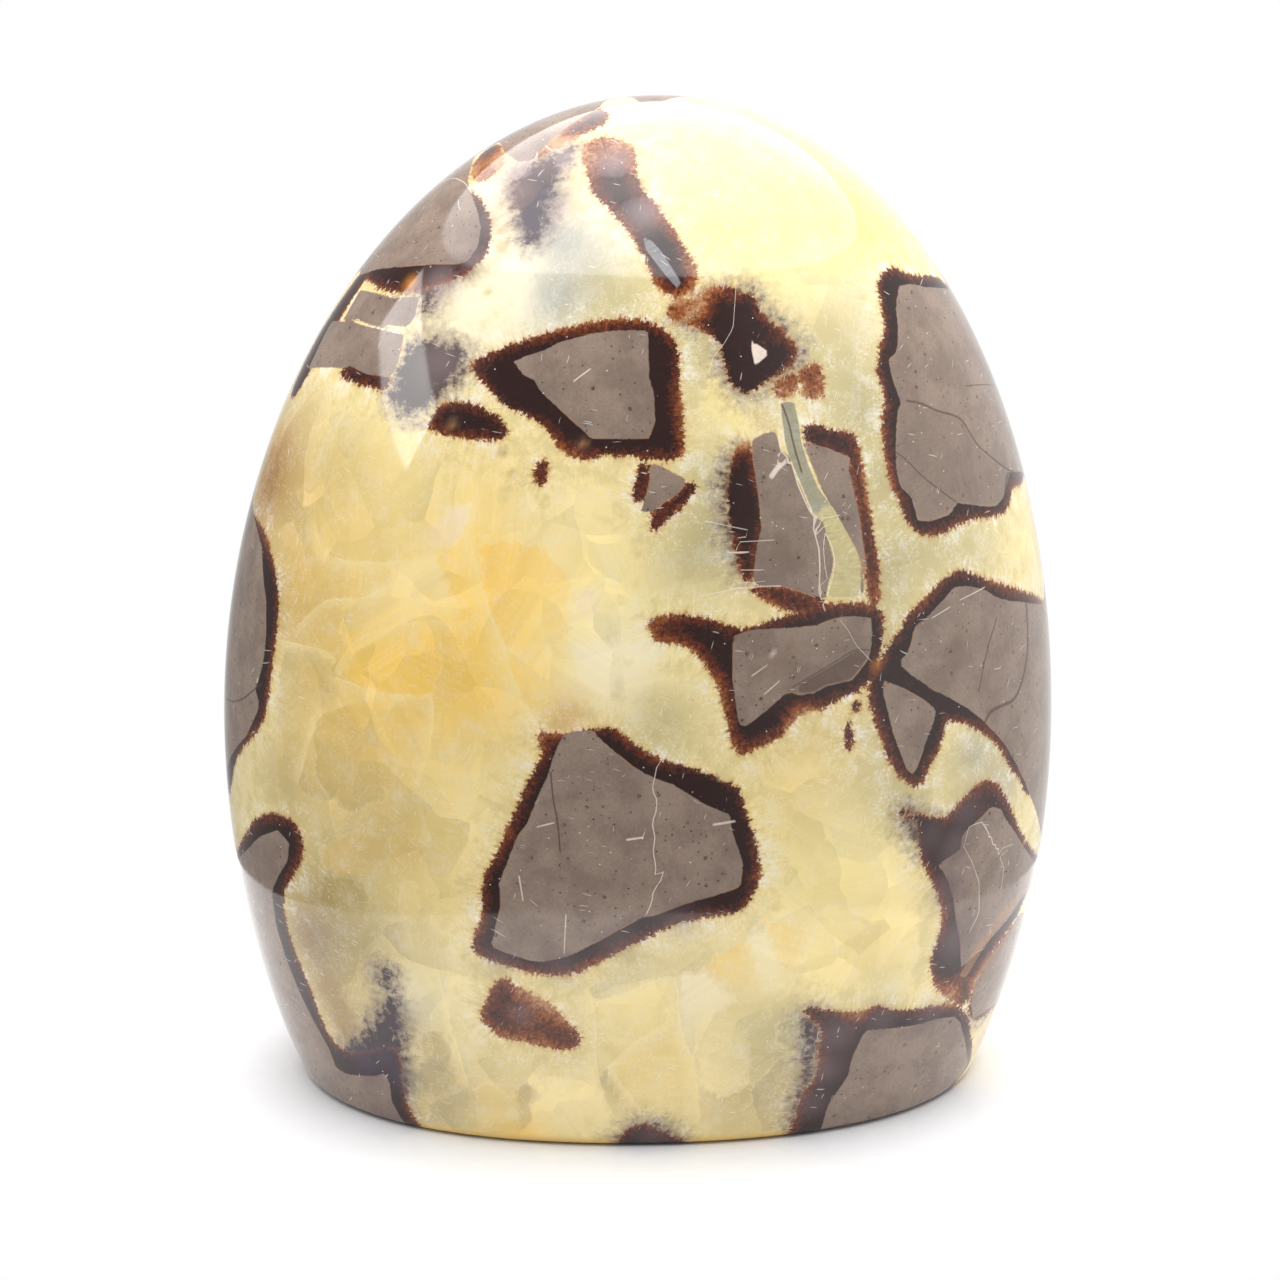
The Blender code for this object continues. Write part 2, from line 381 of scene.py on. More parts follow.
# Outer edges of the brown rims where the photograph shows them. Each takes in its fragment.
RIMS = {
    "middle": seen(
        (536, 730), (539, 746), (542, 753), (536, 767), (527, 782), (519, 802), (509, 822), (501, 843),
        (487, 869), (481, 884), (482, 904), (481, 922), (470, 945), (478, 956), (501, 963), (527, 973),
        (552, 976), (580, 974), (603, 961), (664, 929), (695, 919), (738, 914), (750, 902), (762, 880),
        (760, 859), (754, 833), (744, 802), (740, 786), (715, 776), (684, 765), (660, 759), (644, 749),
        (625, 736), (611, 726), (593, 729), (565, 735), (553, 733)),
    "island": seen(
        (504, 977), (494, 982), (484, 1002), (479, 1019), (491, 1029), (499, 1038), (542, 1046),
        (564, 1052), (582, 1045), (580, 1032), (562, 1015), (546, 1000), (515, 986), (509, 979)),
    "half moon": seen(
        (616, 1143), (623, 1133), (633, 1125), (646, 1122), (656, 1129), (672, 1136), (684, 1141))
    + under((7, -22), (0, -20), (-3, -23)),
    "upper middle": seen(
        (470, 363), (484, 355), (529, 338), (545, 333), (593, 321), (623, 316), (646, 319), (660, 326),
        (670, 334), (680, 347), (679, 370), (684, 420), (685, 453), (680, 458), (666, 462), (655, 459),
        (600, 455), (592, 460), (582, 461), (570, 458), (562, 453), (556, 443), (541, 423), (521, 413),
        (506, 407), (497, 400), (486, 386), (472, 372)),
    "small wedge left": seen(
        (640, 462), (650, 463), (652, 480), (649, 494), (642, 507), (631, 500), (634, 484), (637, 470)),
    "small wedge right": seen(
        (686, 479), (699, 486), (691, 498), (678, 511), (668, 519), (658, 531), (653, 533), (649, 524),
        (650, 512), (666, 499), (678, 492)),
    "pillar bar": seen(
        (744, 442), (750, 441), (754, 458), (763, 515), (763, 527), (757, 560), (755, 582), (742, 582),
        (736, 556), (729, 519), (727, 500), (731, 464), (736, 447)),
    "pillar lens": seen(
        (744, 587), (762, 585), (783, 585), (813, 595), (826, 597), (825, 608), (813, 613), (795, 614),
        (779, 607), (762, 599)),
    "pillar right": seen(
        (803, 427), (811, 423), (823, 426), (833, 430), (854, 433), (859, 443), (868, 496), (876, 551),
        (880, 572), (881, 597), (879, 605), (868, 600), (866, 576), (853, 494), (848, 470), (848, 459),
        (825, 450), (803, 442)),
    "arrow": seen(
        (646, 621), (660, 616), (677, 613), (697, 616), (718, 621), (732, 626), (750, 628), (762, 623),
        (803, 610), (813, 605), (844, 602), (869, 603), (881, 607), (884, 619), (884, 636), (882, 650),
        (875, 674), (867, 687), (844, 697), (820, 712), (803, 711), (789, 727), (783, 736), (762, 746),
        (742, 757), (734, 750), (729, 738), (726, 719), (718, 687), (707, 670), (697, 654), (681, 644),
        (660, 644), (652, 638)),
    "dart": seen(
        (872, 671), (869, 683), (868, 701), (875, 724), (881, 738), (887, 760), (897, 775), (905, 783),
        (916, 789), (924, 783), (932, 762), (940, 750), (944, 734), (947, 722), (940, 700), (910, 670),
        (885, 654)),
    "right side": seen(
        (874, 668), (885, 654), (889, 642), (899, 634), (903, 620), (916, 605), (942, 579), (954, 571),
        (969, 571), (983, 578), (1032, 595), (1046, 603)) + beside((90, 53), (90, 34)) + seen(
        (1027, 801), (1018, 775), (1011, 773), (1003, 754), (995, 742), (983, 734), (960, 721), (947, 722),
        (925, 705), (890, 684), (878, 680)),
    "right shoulder": seen((891, 266), (900, 270), (911, 275), (930, 276), (939, 278), (948, 284))
    + beside((94, 90), (96, 80), (92, 72)) + seen(
        (1023, 486), (1012, 488), (1012, 497), (1007, 510), (1003, 515), (960, 522), (942, 536), (918, 536),
        (905, 520), (902, 510), (888, 481), (882, 442), (881, 411), (885, 401), (880, 383), (875, 370),
        (878, 361), (878, 347), (883, 338), (884, 326), (880, 299), (877, 286), (879, 277)),
    "lower right": seen(
        (983, 779), (987, 779), (999, 784), (1007, 799), (1018, 826), (1024, 838), (1034, 854))
    + beside((86, 25)) + seen(
        (1026, 893), (1020, 911), (995, 946), (979, 974), (971, 991), (967, 1005), (955, 1003), (936, 991),
        (931, 974), (930, 958), (938, 938), (942, 917), (938, 897), (928, 876), (920, 860), (918, 820),
        (899, 816), (891, 807), (910, 812), (938, 818), (948, 818), (962, 797)),
    "below the band": seen((971, 1019), (978, 1021), (999, 1003)) + beside((86, 8), (88, 18))
    + seen((1022, 909), (995, 946), (979, 974), (967, 1005)),
    "right foot": seen(
        (799, 1011), (813, 1006), (828, 1011), (862, 1012), (879, 1003), (891, 1011), (936, 1005),
        (954, 1004), (964, 1011), (969, 1023), (972, 1064), (966, 1080), (958, 1092))
    + under((33, -5), (22, -6), (14, -15), (13, -22)) + seen(
        (789, 1133), (793, 1123), (799, 1103), (805, 1091), (818, 1072), (818, 1054), (822, 1033),
        (816, 1021)),
    "left side": seen(
        (257, 517), (263, 527), (270, 543), (279, 582), (279, 611), (277, 635), (268, 707), (261, 729),
        (247, 743), (236, 760), (232, 782), (230, 800)) + beside((-93, 38), (-97, 54), (-91, 67)),
    "left foot": seen(
        (237, 850), (244, 838), (254, 819), (268, 812), (288, 815), (298, 826), (304, 843), (304, 858),
        (293, 877), (284, 891), (284, 911), (290, 935), (298, 959), (310, 986), (319, 1013), (331, 1039),
        (346, 1052), (362, 1054), (376, 1052), (390, 1048), (398, 1054), (401, 1066), (401, 1083),
        (407, 1105), (419, 1127)) + under((-16, -13), (-22, 1), (-34, 8)) + beside((-106, 10), (-92, 24)),
    "top left": seen(
        (440, 176), (472, 190), (484, 202), (491, 219), (492, 235), (488, 253), (470, 272), (453, 281),
        (421, 290), (400, 294), (380, 290)) + beside((-84, 94)) + seen((402, 240), (412, 205)),
    "left shards": beside((-80, 97), (-86, 97), (-88, 91), (-89, 85), (-87, 80), (-80, 81)),
    "left brow": seen((339, 378), (362, 386), (386, 392), (393, 380), (388, 372), (360, 366), (343, 364)),
    "blot": seen(
        (701, 292), (707, 286), (736, 286), (738, 296), (750, 292), (756, 302), (762, 317), (780, 327),
        (782, 333), (795, 343), (799, 358), (784, 370), (764, 382), (756, 390), (744, 394), (733, 386),
        (725, 370), (723, 356), (719, 343), (711, 335), (695, 327), (682, 323), (699, 315), (697, 302)),
    "amber tail": seen(
        (805, 366), (817, 362), (823, 372), (825, 390), (821, 400), (803, 398), (801, 382), (795, 374)),
    "slanting band": seen(
        (580, 147), (600, 135), (621, 139), (637, 149), (635, 172), (645, 194), (662, 211), (686, 249),
        (696, 264), (698, 284), (686, 300), (666, 296), (651, 278), (647, 264), (631, 235), (611, 211),
        (592, 194), (586, 172)),
    "granular shelf": seen(
        (666, 306), (676, 300), (690, 299), (704, 296), (702, 308), (690, 316), (680, 323), (668, 320)),
    "below the blot": seen(
        (772, 384), (786, 375), (798, 372), (801, 384), (794, 396), (784, 400), (774, 394)),
    "left islet": seen(
        (429, 423), (433, 411), (447, 402), (464, 400), (484, 407), (502, 419), (509, 433), (507, 441),
        (484, 441), (460, 439), (443, 435), (429, 429)),
    "red fleck": seen((535, 464), (545, 455), (549, 470), (545, 488), (533, 482)),
    "crown strip": seen(
        (533, 160), (548, 140), (591, 110), (606, 108), (610, 122), (590, 132), (566, 143), (545, 155)),
    "crown patch": seen(
        (485, 148), (498, 143), (506, 154), (503, 166), (494, 176), (480, 184), (471, 180), (474, 162)),
    "knot below": seen((850, 702), (860, 700), (863, 710), (852, 714)),
    "knot tail": seen((846, 722), (851, 722), (855, 742), (848, 756), (843, 740)),
    "right islet": beside((122, 68), (127, 73), (133, 70), (130, 64), (124, 63)),
    "back islet": beside((-174, 36), (-166, 40), (-160, 37), (-164, 32), (-171, 31)),
    "crown islet": beside((-150, 106), (-140, 109), (-128, 107), (-134, 103), (-144, 103)),
    "low islet": beside((-112, 34), (-107, 38), (-103, 35), (-106, 31)),
}

# Smoky blue-black zones with soft edges
SMOKE = {
    "left brow": seen(
        (411, 337), (431, 338), (464, 345), (472, 362), (464, 376), (449, 388), (431, 411), (402, 423),
        (394, 413), (386, 394), (394, 374)),
    "crown": seen(
        (509, 192), (514, 178), (526, 167), (556, 150), (574, 142), (580, 147), (573, 159), (564, 172),
        (556, 187), (550, 202), (549, 218), (547, 234), (538, 246), (527, 248), (519, 234), (513, 214)),
    "pillar tufts": seen(
        (730, 452), (742, 446), (744, 480), (742, 515), (744, 550), (746, 580), (734, 566), (726, 535),
        (720, 500), (722, 470)),
    "blot": seen(
        (672, 320), (690, 311), (700, 299), (713, 286), (748, 284), (758, 295), (763, 310), (784, 325),
        (792, 338), (803, 350), (801, 367), (786, 375), (770, 381), (750, 391), (742, 398), (729, 387),
        (721, 368), (722, 352), (728, 342), (714, 331), (690, 328)),
    "left foot": seen(
        (338, 1054), (350, 1040), (362, 1034), (372, 1020), (382, 1000), (391, 982), (400, 990),
        (403, 1015), (407, 1080), (414, 1124), (404, 1126), (394, 1090), (376, 1068)),
    "lower right": seen(
        (897, 808), (916, 810), (936, 820), (946, 832), (944, 850), (930, 862), (916, 846), (902, 830)),
    "under the band": seen((969, 1015), (985, 1009), (1001, 997), (1000, 1006), (985, 1018), (972, 1024)),
    "right foot": seen(
        (798, 1014), (818, 1010), (824, 1034), (818, 1062), (796, 1128), (786, 1130), (794, 1098),
        (803, 1070), (802, 1040)),
    "half moon": seen((612, 1144), (625, 1129), (648, 1120), (672, 1132), (688, 1143)) + under((0, -22)),
    "below top left": seen(
        (402, 268), (421, 270), (440, 285), (436, 306), (422, 317), (418, 296), (402, 294)),
    "island": seen((507, 1008), (524, 1006), (531, 1017), (521, 1028), (508, 1024)),
    "top left": seen((421, 266), (445, 266), (466, 264), (468, 270), (448, 282), (430, 286), (421, 284)),
    "foot of the left side": seen((378, 962), (394, 966), (396, 984), (384, 994), (374, 984)),
    "back": beside((-172, 60), (-166, 66), (-168, 74), (-174, 76), (-178, 68), (-178, 60)),
    "back right": beside((120, 74), (128, 76), (131, 84), (127, 92), (122, 86)),
    "back low": beside((146, 8), (149, 18), (148, 28), (144, 32), (143, 18)),
    "back left": beside((-156, 60), (-152, 66), (-146, 68), (-149, 58), (-154, 50)),
}

# Where the rims are lighter and more orange, above 0, or nearer black, below 0, with a radius in
# millimetres and the place
RIM_TONES = spots(
    "seen",
    (1.9, 2.6, 490, 163), (1.7, 2.2, 556, 143), (0.9, 1.6, 586, 121), (1.9, 2.8, 610, 152),
    (0.3, 2.5, 628, 192), (0.9, 2.2, 652, 222), (0.6, 2.0, 690, 268), (0.9, 2.0, 684, 309),
    (-1.0, 3.0, 388, 1030), (-0.8, 3.0, 400, 1085), (1.1, 2.2, 712, 300), (-0.9, 2.0, 772, 372),
    (-0.6, 1.8, 728, 350), (-0.7, 2.0, 742, 384), (1.0, 1.3, 746, 352), (0.9, 1.2, 766, 344),
    (1.6, 1.5, 784, 388), (1.2, 1.6, 814, 390), (0.6, 1.4, 812, 368), (-0.9, 3.2, 726, 500),
    (0.5, 1.4, 756, 480), (1.3, 1.2, 745, 445), (-0.5, 4.0, 690, 785), (1.7, 4.0, 530, 1014),
    (0.6, 2.0, 560, 1036), (0.5, 2.6, 760, 870), (0.6, 2.5, 540, 735), (0.7, 3.0, 800, 718),
    (0.8, 2.6, 662, 630), (0.6, 2.4, 724, 690), (0.6, 2.4, 745, 742), (0.4, 3.4, 700, 665),
    (0.5, 3.0, 875, 480), (0.5, 3.0, 868, 600), (0.5, 4.0, 620, 324), (0.4, 3.0, 676, 400),
    (0.5, 2.0, 570, 450), (-0.5, 3.0, 520, 395), (-0.5, 2.4, 915, 830), (0.7, 2.8, 978, 812),
    (0.5, 4.0, 948, 910), (1.4, 2.4, 955, 985), (0.9, 2.2, 858, 1022), (0.6, 2.0, 975, 975),
    (0.5, 3.0, 920, 590), (0.3, 4.0, 830, 1060), (0.3, 3.0, 275, 825),
) + spots(
    "beside",
    (0.3, 6.0, 150, 80), (-0.5, 6.0, 170, 50), (0.5, 6.0, -150, 60), (0.4, 5.0, 120, 20),
)

# Crystals in the calcite: the ink, how strongly it shows, and the outline, which starts where it shows
# most
CRYSTALS = [
    ("gold", 0.6, seen(
        (393, 696), (368, 689), (347, 681), (337, 667), (346, 643), (362, 632), (393, 624), (433, 619),
        (441, 640), (441, 663), (433, 694))),
    ("ochre", 0.45, seen(
        (405, 697), (432, 697), (433, 735), (425, 765), (405, 790), (385, 800), (380, 760), (378, 715))),
    ("khaki", 0.5, seen(
        (318, 785), (312, 740), (316, 716), (341, 706), (378, 699), (381, 740), (383, 800), (350, 815))),
    ("amber gold", 0.5, seen(
        (480, 560), (474, 542), (505, 540), (545, 548), (570, 575), (572, 620), (566, 650), (562, 700),
        (550, 722), (533, 722), (512, 670), (490, 612))),
    ("cream", 0.6, seen(
        (433, 550), (445, 575), (462, 618), (433, 619), (393, 624), (350, 636), (352, 612), (372, 590),
        (400, 570))),
    ("wheat", 0.6, seen(
        (356, 562), (330, 552), (318, 536), (330, 520), (360, 518), (393, 530), (405, 548), (395, 562))),
    ("ochre", 0.4, seen(
        (300, 626), (322, 600), (345, 598), (372, 585), (360, 566), (330, 562), (300, 560), (286, 590),
        (285, 640))),
    ("ochre", 0.5, seen((338, 655), (319, 649), (298, 630), (321, 606), (351, 600), (350, 625))),
    ("dun", 0.4, seen(
        (284, 642), (319, 651), (338, 664), (341, 685), (337, 706), (315, 714), (305, 750), (285, 770),
        (275, 700))),
    ("rose", 0.85, seen(
        (466, 530), (458, 544), (435, 548), (425, 556), (414, 535), (434, 524), (451, 505), (468, 505))),
    ("rose", 0.9, seen((580, 588), (593, 586), (601, 596), (601, 612), (592, 622), (580, 618), (573, 600))),
    ("shell", 0.6, seen(
        (570, 645), (600, 640), (625, 645), (650, 660), (655, 690), (630, 700), (600, 690), (580, 680))),
    ("ochre", 0.4, seen(
        (321, 847), (391, 811), (419, 810), (387, 840), (382, 872), (376, 877), (346, 876), (321, 865))),
    ("ochre", 0.4, seen(
        (387, 840), (400, 820), (419, 812), (424, 840), (418, 870), (405, 877), (390, 872))),
    ("wheat", 0.5, seen(
        (426, 811), (451, 817), (467, 835), (478, 860), (466, 880), (440, 878), (418, 872), (420, 840))),
    ("olive", 0.35, seen(
        (346, 876), (366, 883), (369, 906), (366, 929), (351, 936), (334, 929), (319, 901), (323, 872))),
    ("straw", 0.5, seen((401, 880), (416, 882), (418, 915), (416, 954), (402, 950), (399, 915))),
    ("cream", 0.6, seen(
        (446, 979), (470, 975), (482, 985), (478, 1005), (482, 1040), (478, 1070), (466, 1078), (455, 1045),
        (443, 1020))),
    ("dun", 0.6, seen((419, 1033), (444, 1029), (455, 1067), (440, 1056), (424, 1060))),
    ("drab", 0.6, seen((417, 1062), (440, 1056), (457, 1070), (455, 1090), (430, 1098), (418, 1085))),
    ("drab", 0.6, seen((427, 1105), (469, 1086), (471, 1113), (457, 1130), (429, 1126))),
    ("wheat", 0.5, seen((475, 1086), (515, 1082), (522, 1105), (520, 1136), (480, 1132))),
    ("dun", 0.7, seen(
        (515, 1084), (528, 1082), (540, 1088), (540, 1098), (532, 1105), (530, 1134), (520, 1134))),
    ("cream", 0.6, seen((541, 1078), (595, 1082), (616, 1128), (591, 1143), (562, 1113))),
    ("dun", 0.6, seen((605, 1067), (612, 1075), (647, 1120), (622, 1130), (595, 1082))),
    ("wheat", 0.7, seen((635, 1046), (677, 1033), (698, 1067), (698, 1113), (648, 1118), (612, 1071))),
    ("butter", 0.5, seen((675, 979), (677, 1033), (646, 1036), (614, 1067), (597, 1063), (597, 1004))),
    ("mint", 0.6, seen(
        (580, 990), (600, 980), (640, 950), (690, 940), (680, 968), (636, 988), (600, 1003))),
    ("shell", 0.7, seen(
        (679, 973), (707, 971), (722, 986), (736, 1002), (709, 1020), (697, 1047), (683, 1051),
        (679, 1022))),
    ("gold", 0.5, seen((713, 959), (744, 937), (754, 961), (758, 992), (722, 982), (707, 969))),
    ("shell", 0.6, seen((760, 922), (779, 959), (785, 990), (760, 998), (746, 935))),
    ("gold", 0.4, seen((762, 916), (807, 931), (801, 951), (787, 978), (779, 957))),
    ("butter", 0.5, seen(
        (824, 906), (911, 906), (920, 941), (913, 986), (885, 998), (818, 994), (795, 990), (813, 933))),
    ("cream", 0.6, seen(
        (699, 1084), (697, 1047), (709, 1018), (738, 1018), (748, 1043), (750, 1084), (722, 1098))),
    ("drab", 0.6, seen(
        (754, 1084), (783, 1055), (811, 1063), (803, 1094), (791, 1124), (762, 1133), (750, 1096))),
    ("celadon", 0.8, seen((775, 1024), (796, 1016), (815, 1034), (815, 1060), (792, 1052), (778, 1044))),
    ("butter", 0.7, seen(
        (735, 397), (746, 412), (752, 430), (748, 440), (732, 446), (712, 440), (697, 428), (695, 410),
        (703, 392), (713, 376))),
    ("khaki", 0.7, seen((752, 396), (770, 388), (781, 404), (788, 430), (774, 430), (756, 434))),
    ("gold", 0.5, beside((-170, 92), (-176, 84), (176, 88), (178, 98), (-176, 102))),
    ("cream", 0.6, beside((-176, 84), (-180, 78), (168, 82), (172, 94), (176, 88))),
    ("ochre", 0.5, beside((100, 58), (116, 64), (122, 54), (114, 46), (103, 49))),
    ("gold", 0.5, beside((122, 54), (134, 60), (136, 47), (126, 40), (114, 46))),
    ("wheat", 0.6, beside((-160, 44), (-163, 34), (-152, 28), (-142, 32), (-148, 40))),
    ("gold", 0.6, beside((-120, 78), (-112, 86), (-124, 92), (-132, 90), (-128, 80))),
    ("cream", 0.6, beside((-118, 36), (-122, 26), (-136, 30), (-132, 38))),
]

# Small crisp areas that lie over everything else
PATCHES = [
    ("glass", 0.85, seen(
        (780, 402), (794, 402), (799, 424), (801, 441), (808, 464), (818, 488), (830, 504), (814, 515),
        (789, 456), (785, 441))),
    ("moss", 0.85, seen(
        (812, 515), (830, 504), (836, 513), (856, 549), (860, 560), (861, 582), (858, 597), (828, 597),
        (830, 580), (835, 562), (823, 522))),
    ("chip", 0.95, seen((751, 340), (770, 353), (755, 366), (752, 352))),
    ("slate", 0.75, seen(
        (643, 237), (652, 241), (661, 251), (681, 282), (678, 289), (666, 276), (646, 250))),
    ("shade", 0.85, seen(
        (795, 687), (856, 651), (866, 652), (867, 658), (861, 667), (851, 679), (824, 685), (815, 691),
        (800, 693))),
    ("mud dark", 0.5, seen(
        (909, 402), (921, 404), (939, 413), (955, 416), (964, 424), (971, 437), (980, 451), (991, 460),
        (1010, 473), (1003, 497), (996, 504), (979, 504), (957, 501), (948, 512), (930, 519), (919, 517),
        (912, 496), (901, 485), (898, 467), (898, 433), (900, 411))),
    ("tan", 0.45, seen(
        (959, 976), (975, 948), (1000, 913), (1020, 891), (1023, 894), (1003, 920), (981, 952),
        (966, 978))),
    ("rust", 0.5, seen((968, 990), (985, 960), (1023, 906), (1011, 932), (973, 992))),
    ("tan", 0.6, seen((699, 633), (708, 631), (718, 632), (716, 635), (705, 636))),
]

# Fine dark cracks in the mudstone, with how wide each is in millimetres
DARK_LINES = [
    (0.44, seen(
        (1026, 604), (1028, 632), (1027, 659), (1022, 682), (1015, 700), (1001, 706), (990, 711),
        (986, 720))),
    (0.2, seen((996, 620), (986, 652), (979, 690))),
    (0.26, seen(
        (909, 401), (921, 403), (939, 412), (955, 415), (964, 422), (971, 435), (980, 449), (1005, 469),
        (1014, 472))),
    (0.16, seen((966, 386), (995, 386))),
    (0.16, seen((896, 452), (907, 460), (923, 478), (957, 503))),
    (0.2, seen((1041, 607), (1048, 622), (1049, 638))),
    (0.24, seen((226, 699), (240, 703), (261, 684))),
    (0.2, seen((551, 775), (553, 800), (558, 823), (560, 850))),
    (0.16, seen((793, 687), (844, 656), (856, 649), (867, 650))),
    (0.24, seen((783, 407), (789, 423), (793, 443), (801, 470))),
    (0.2, seen((602, 139), (608, 158), (615, 178))),
    (0.2, beside((142, 96), (150, 88), (152, 76))),
    (0.24, beside((-160, 100), (-152, 90), (-140, 80))),
    (0.2, beside((150, 60), (158, 50), (170, 40))),
]

# Thin pale cracks, with how wide each is in millimetres
PALE_LINES = [
    (0.11, seen(
        (664, 757), (657, 766), (652, 790), (657, 800), (656, 812), (652, 822), (655, 838), (653, 852),
        (656, 866), (655, 876))),
    (0.11, seen((664, 870), (661, 880), (653, 892), (652, 902), (646, 915))),
    (0.2, seen((541, 826), (549, 824))),
    (0.26, seen((626, 840), (646, 837))),
    (0.3, seen((718, 824), (730, 822))),
    (0.16, seen((519, 876), (523, 900))),
    (0.12, seen((566, 915), (564, 954))),
    (0.16, seen((578, 378), (586, 372))),
    (0.16, seen(
        (778, 437), (781, 451), (791, 461), (798, 485), (809, 510), (815, 518), (813, 527), (819, 549),
        (820, 569), (819, 592), (825, 611))),
    (0.12, seen((816, 521), (825, 532), (832, 547), (835, 561), (832, 580), (826, 600))),
    (0.1, seen((813, 516), (826, 518), (840, 515))),
    (0.6, seen((771, 477), (778, 467), (788, 459))),
    (0.12, seen((705, 521), (733, 527), (748, 530))),
    (0.1, seen((738, 542), (774, 540))),
    (0.18, seen((727, 552), (738, 553), (749, 552))),
    (0.1, seen((741, 570), (763, 570))),
    (0.16, seen((736, 587), (781, 586))),
    (0.12, seen((700, 596), (730, 590), (758, 588))),
    (0.16, seen((756, 673), (763, 668))),
    (0.16, seen((768, 691), (776, 684))),
    (0.07, seen((840, 620), (848, 630), (856, 645), (872, 662))),
    (0.14, seen((932, 618), (950, 607))),
    (0.14, seen((960, 600), (985, 587))),
    (0.1, seen((443, 181), (455, 178), (465, 183), (472, 193))),
    (0.06, seen((736, 286), (733, 328), (724, 344), (713, 357), (709, 372))),
    (0.1, seen((988, 838), (996, 848), (1004, 868), (1001, 890))),
    (0.1, seen((964, 847), (969, 826), (982, 822), (992, 839), (1000, 849), (1013, 844))),
    (0.1, seen((964, 847), (972, 862), (979, 882), (979, 913), (969, 933))),
    (0.12, beside((132, 88), (145, 84), (158, 90))),
    (0.12, beside((-130, 58), (-138, 52), (-146, 42))),
    (0.1, beside((120, 30), (132, 22), (138, 14))),
]

# Bright seams between the calcite's crystals, with how wide each is in millimetres
SEAMS = [
    (0.3, seen((338, 664), (351, 641), (375, 631), (400, 624), (434, 620), (465, 621))),
    (0.36, seen((338, 678), (363, 688), (383, 694), (408, 695), (432, 694))),
    (0.34, seen((471, 541), (489, 613), (506, 647), (516, 688), (538, 725))),
    (0.24, seen((318, 533), (322, 551), (342, 561), (375, 563), (404, 560))),
    (0.24, seen((298, 626), (322, 600), (342, 598), (367, 598), (389, 584))),
    (0.22, seen((283, 641), (306, 646), (322, 649), (338, 660))),
    (0.24, seen((342, 707), (318, 715), (312, 735), (300, 776))),
    (0.22, seen((432, 696), (434, 715), (430, 745), (422, 776))),
    (0.26, seen((609, 1066), (627, 1047), (664, 1023))),
    (0.24, seen((613, 1070), (629, 1094), (650, 1121))),
    (0.26, seen((636, 988), (676, 972), (678, 994), (679, 1023), (687, 1047), (695, 1064))),
    (0.4, seen((693, 1056), (697, 1084), (700, 1115))),
    (0.24, seen((593, 1002), (597, 1023), (595, 1064), (603, 1094), (617, 1125))),
    (0.22, seen((542, 1084), (562, 1115), (576, 1135))),
    (0.24, seen((711, 1019), (697, 1049))),
    (0.26, seen((862, 903), (822, 909), (816, 931), (809, 952), (793, 987))),
    (0.26, seen((439, 974), (453, 1034), (467, 1080))),
    (0.26, beside((170, 72), (-178, 88), (178, 104))),
    (0.26, beside((146, 40), (141, 66), (134, 76))),
    (0.26, beside((-160, 46), (-156, 32), (-158, 18))),
]

# Colours, as the red, green and blue that a screen shows them with
INK = {
    # gold and amber gold are the calcite's own gold made as light as a screen shows, partly painted glow of
    # light through it
    "gold": (255, 207, 94),
    "amber gold": (255, 202, 90),
    "ochre": (232, 194, 110),
    "wheat": (236, 208, 134),
    "straw": (238, 218, 156),
    "cream": (252, 232, 172),
    "shell": (254, 240, 204),
    "lemon": (240, 212, 126),
    "butter": (255, 234, 158),
    "mint": (208, 194, 146),
    "sage": (194, 178, 132),
    "moss": (192, 180, 130),
    "glass": (140, 138, 122),
    "ice": (238, 234, 216),
    "celadon": (180, 168, 124),
    "rose": (250, 226, 192),
    "dusk": (156, 138, 138),
    "plum": (104, 84, 86),
    "shade": (94, 74, 64),
    "earth": (104, 84, 64),
    "violet": (72, 60, 76),
    "bark purple": (112, 88, 86),
    "pearl": (170, 170, 166),
    "khaki": (190, 164, 106),
    "dun": (182, 160, 112),
    "drab": (170, 154, 120),
    "olive": (152, 126, 66),
    "bark": (140, 100, 62),
    # amber brown: the left edge's own browner calcite, darkened further with painted shade
    "amber brown": (172, 124, 62),
    "white": (246, 242, 234),
    "amber": (196, 124, 44),
    "rust": (150, 100, 66),
    "tan": (176, 130, 92),
    "orange brown": (134, 72, 34),
    "chestnut": (86, 38, 22),
    "burnt": (42, 20, 17),
    "haze": (122, 104, 108),
    "soot": (42, 29, 38),
    "mud": (146, 127, 113),
    "mud dark": (128, 110, 98),
    "slate": (142, 142, 144),
    "chip": (232, 214, 198),
    "pit": (72, 54, 46),
    "crack": (78, 56, 46),
    "scratch": (236, 222, 206),
}
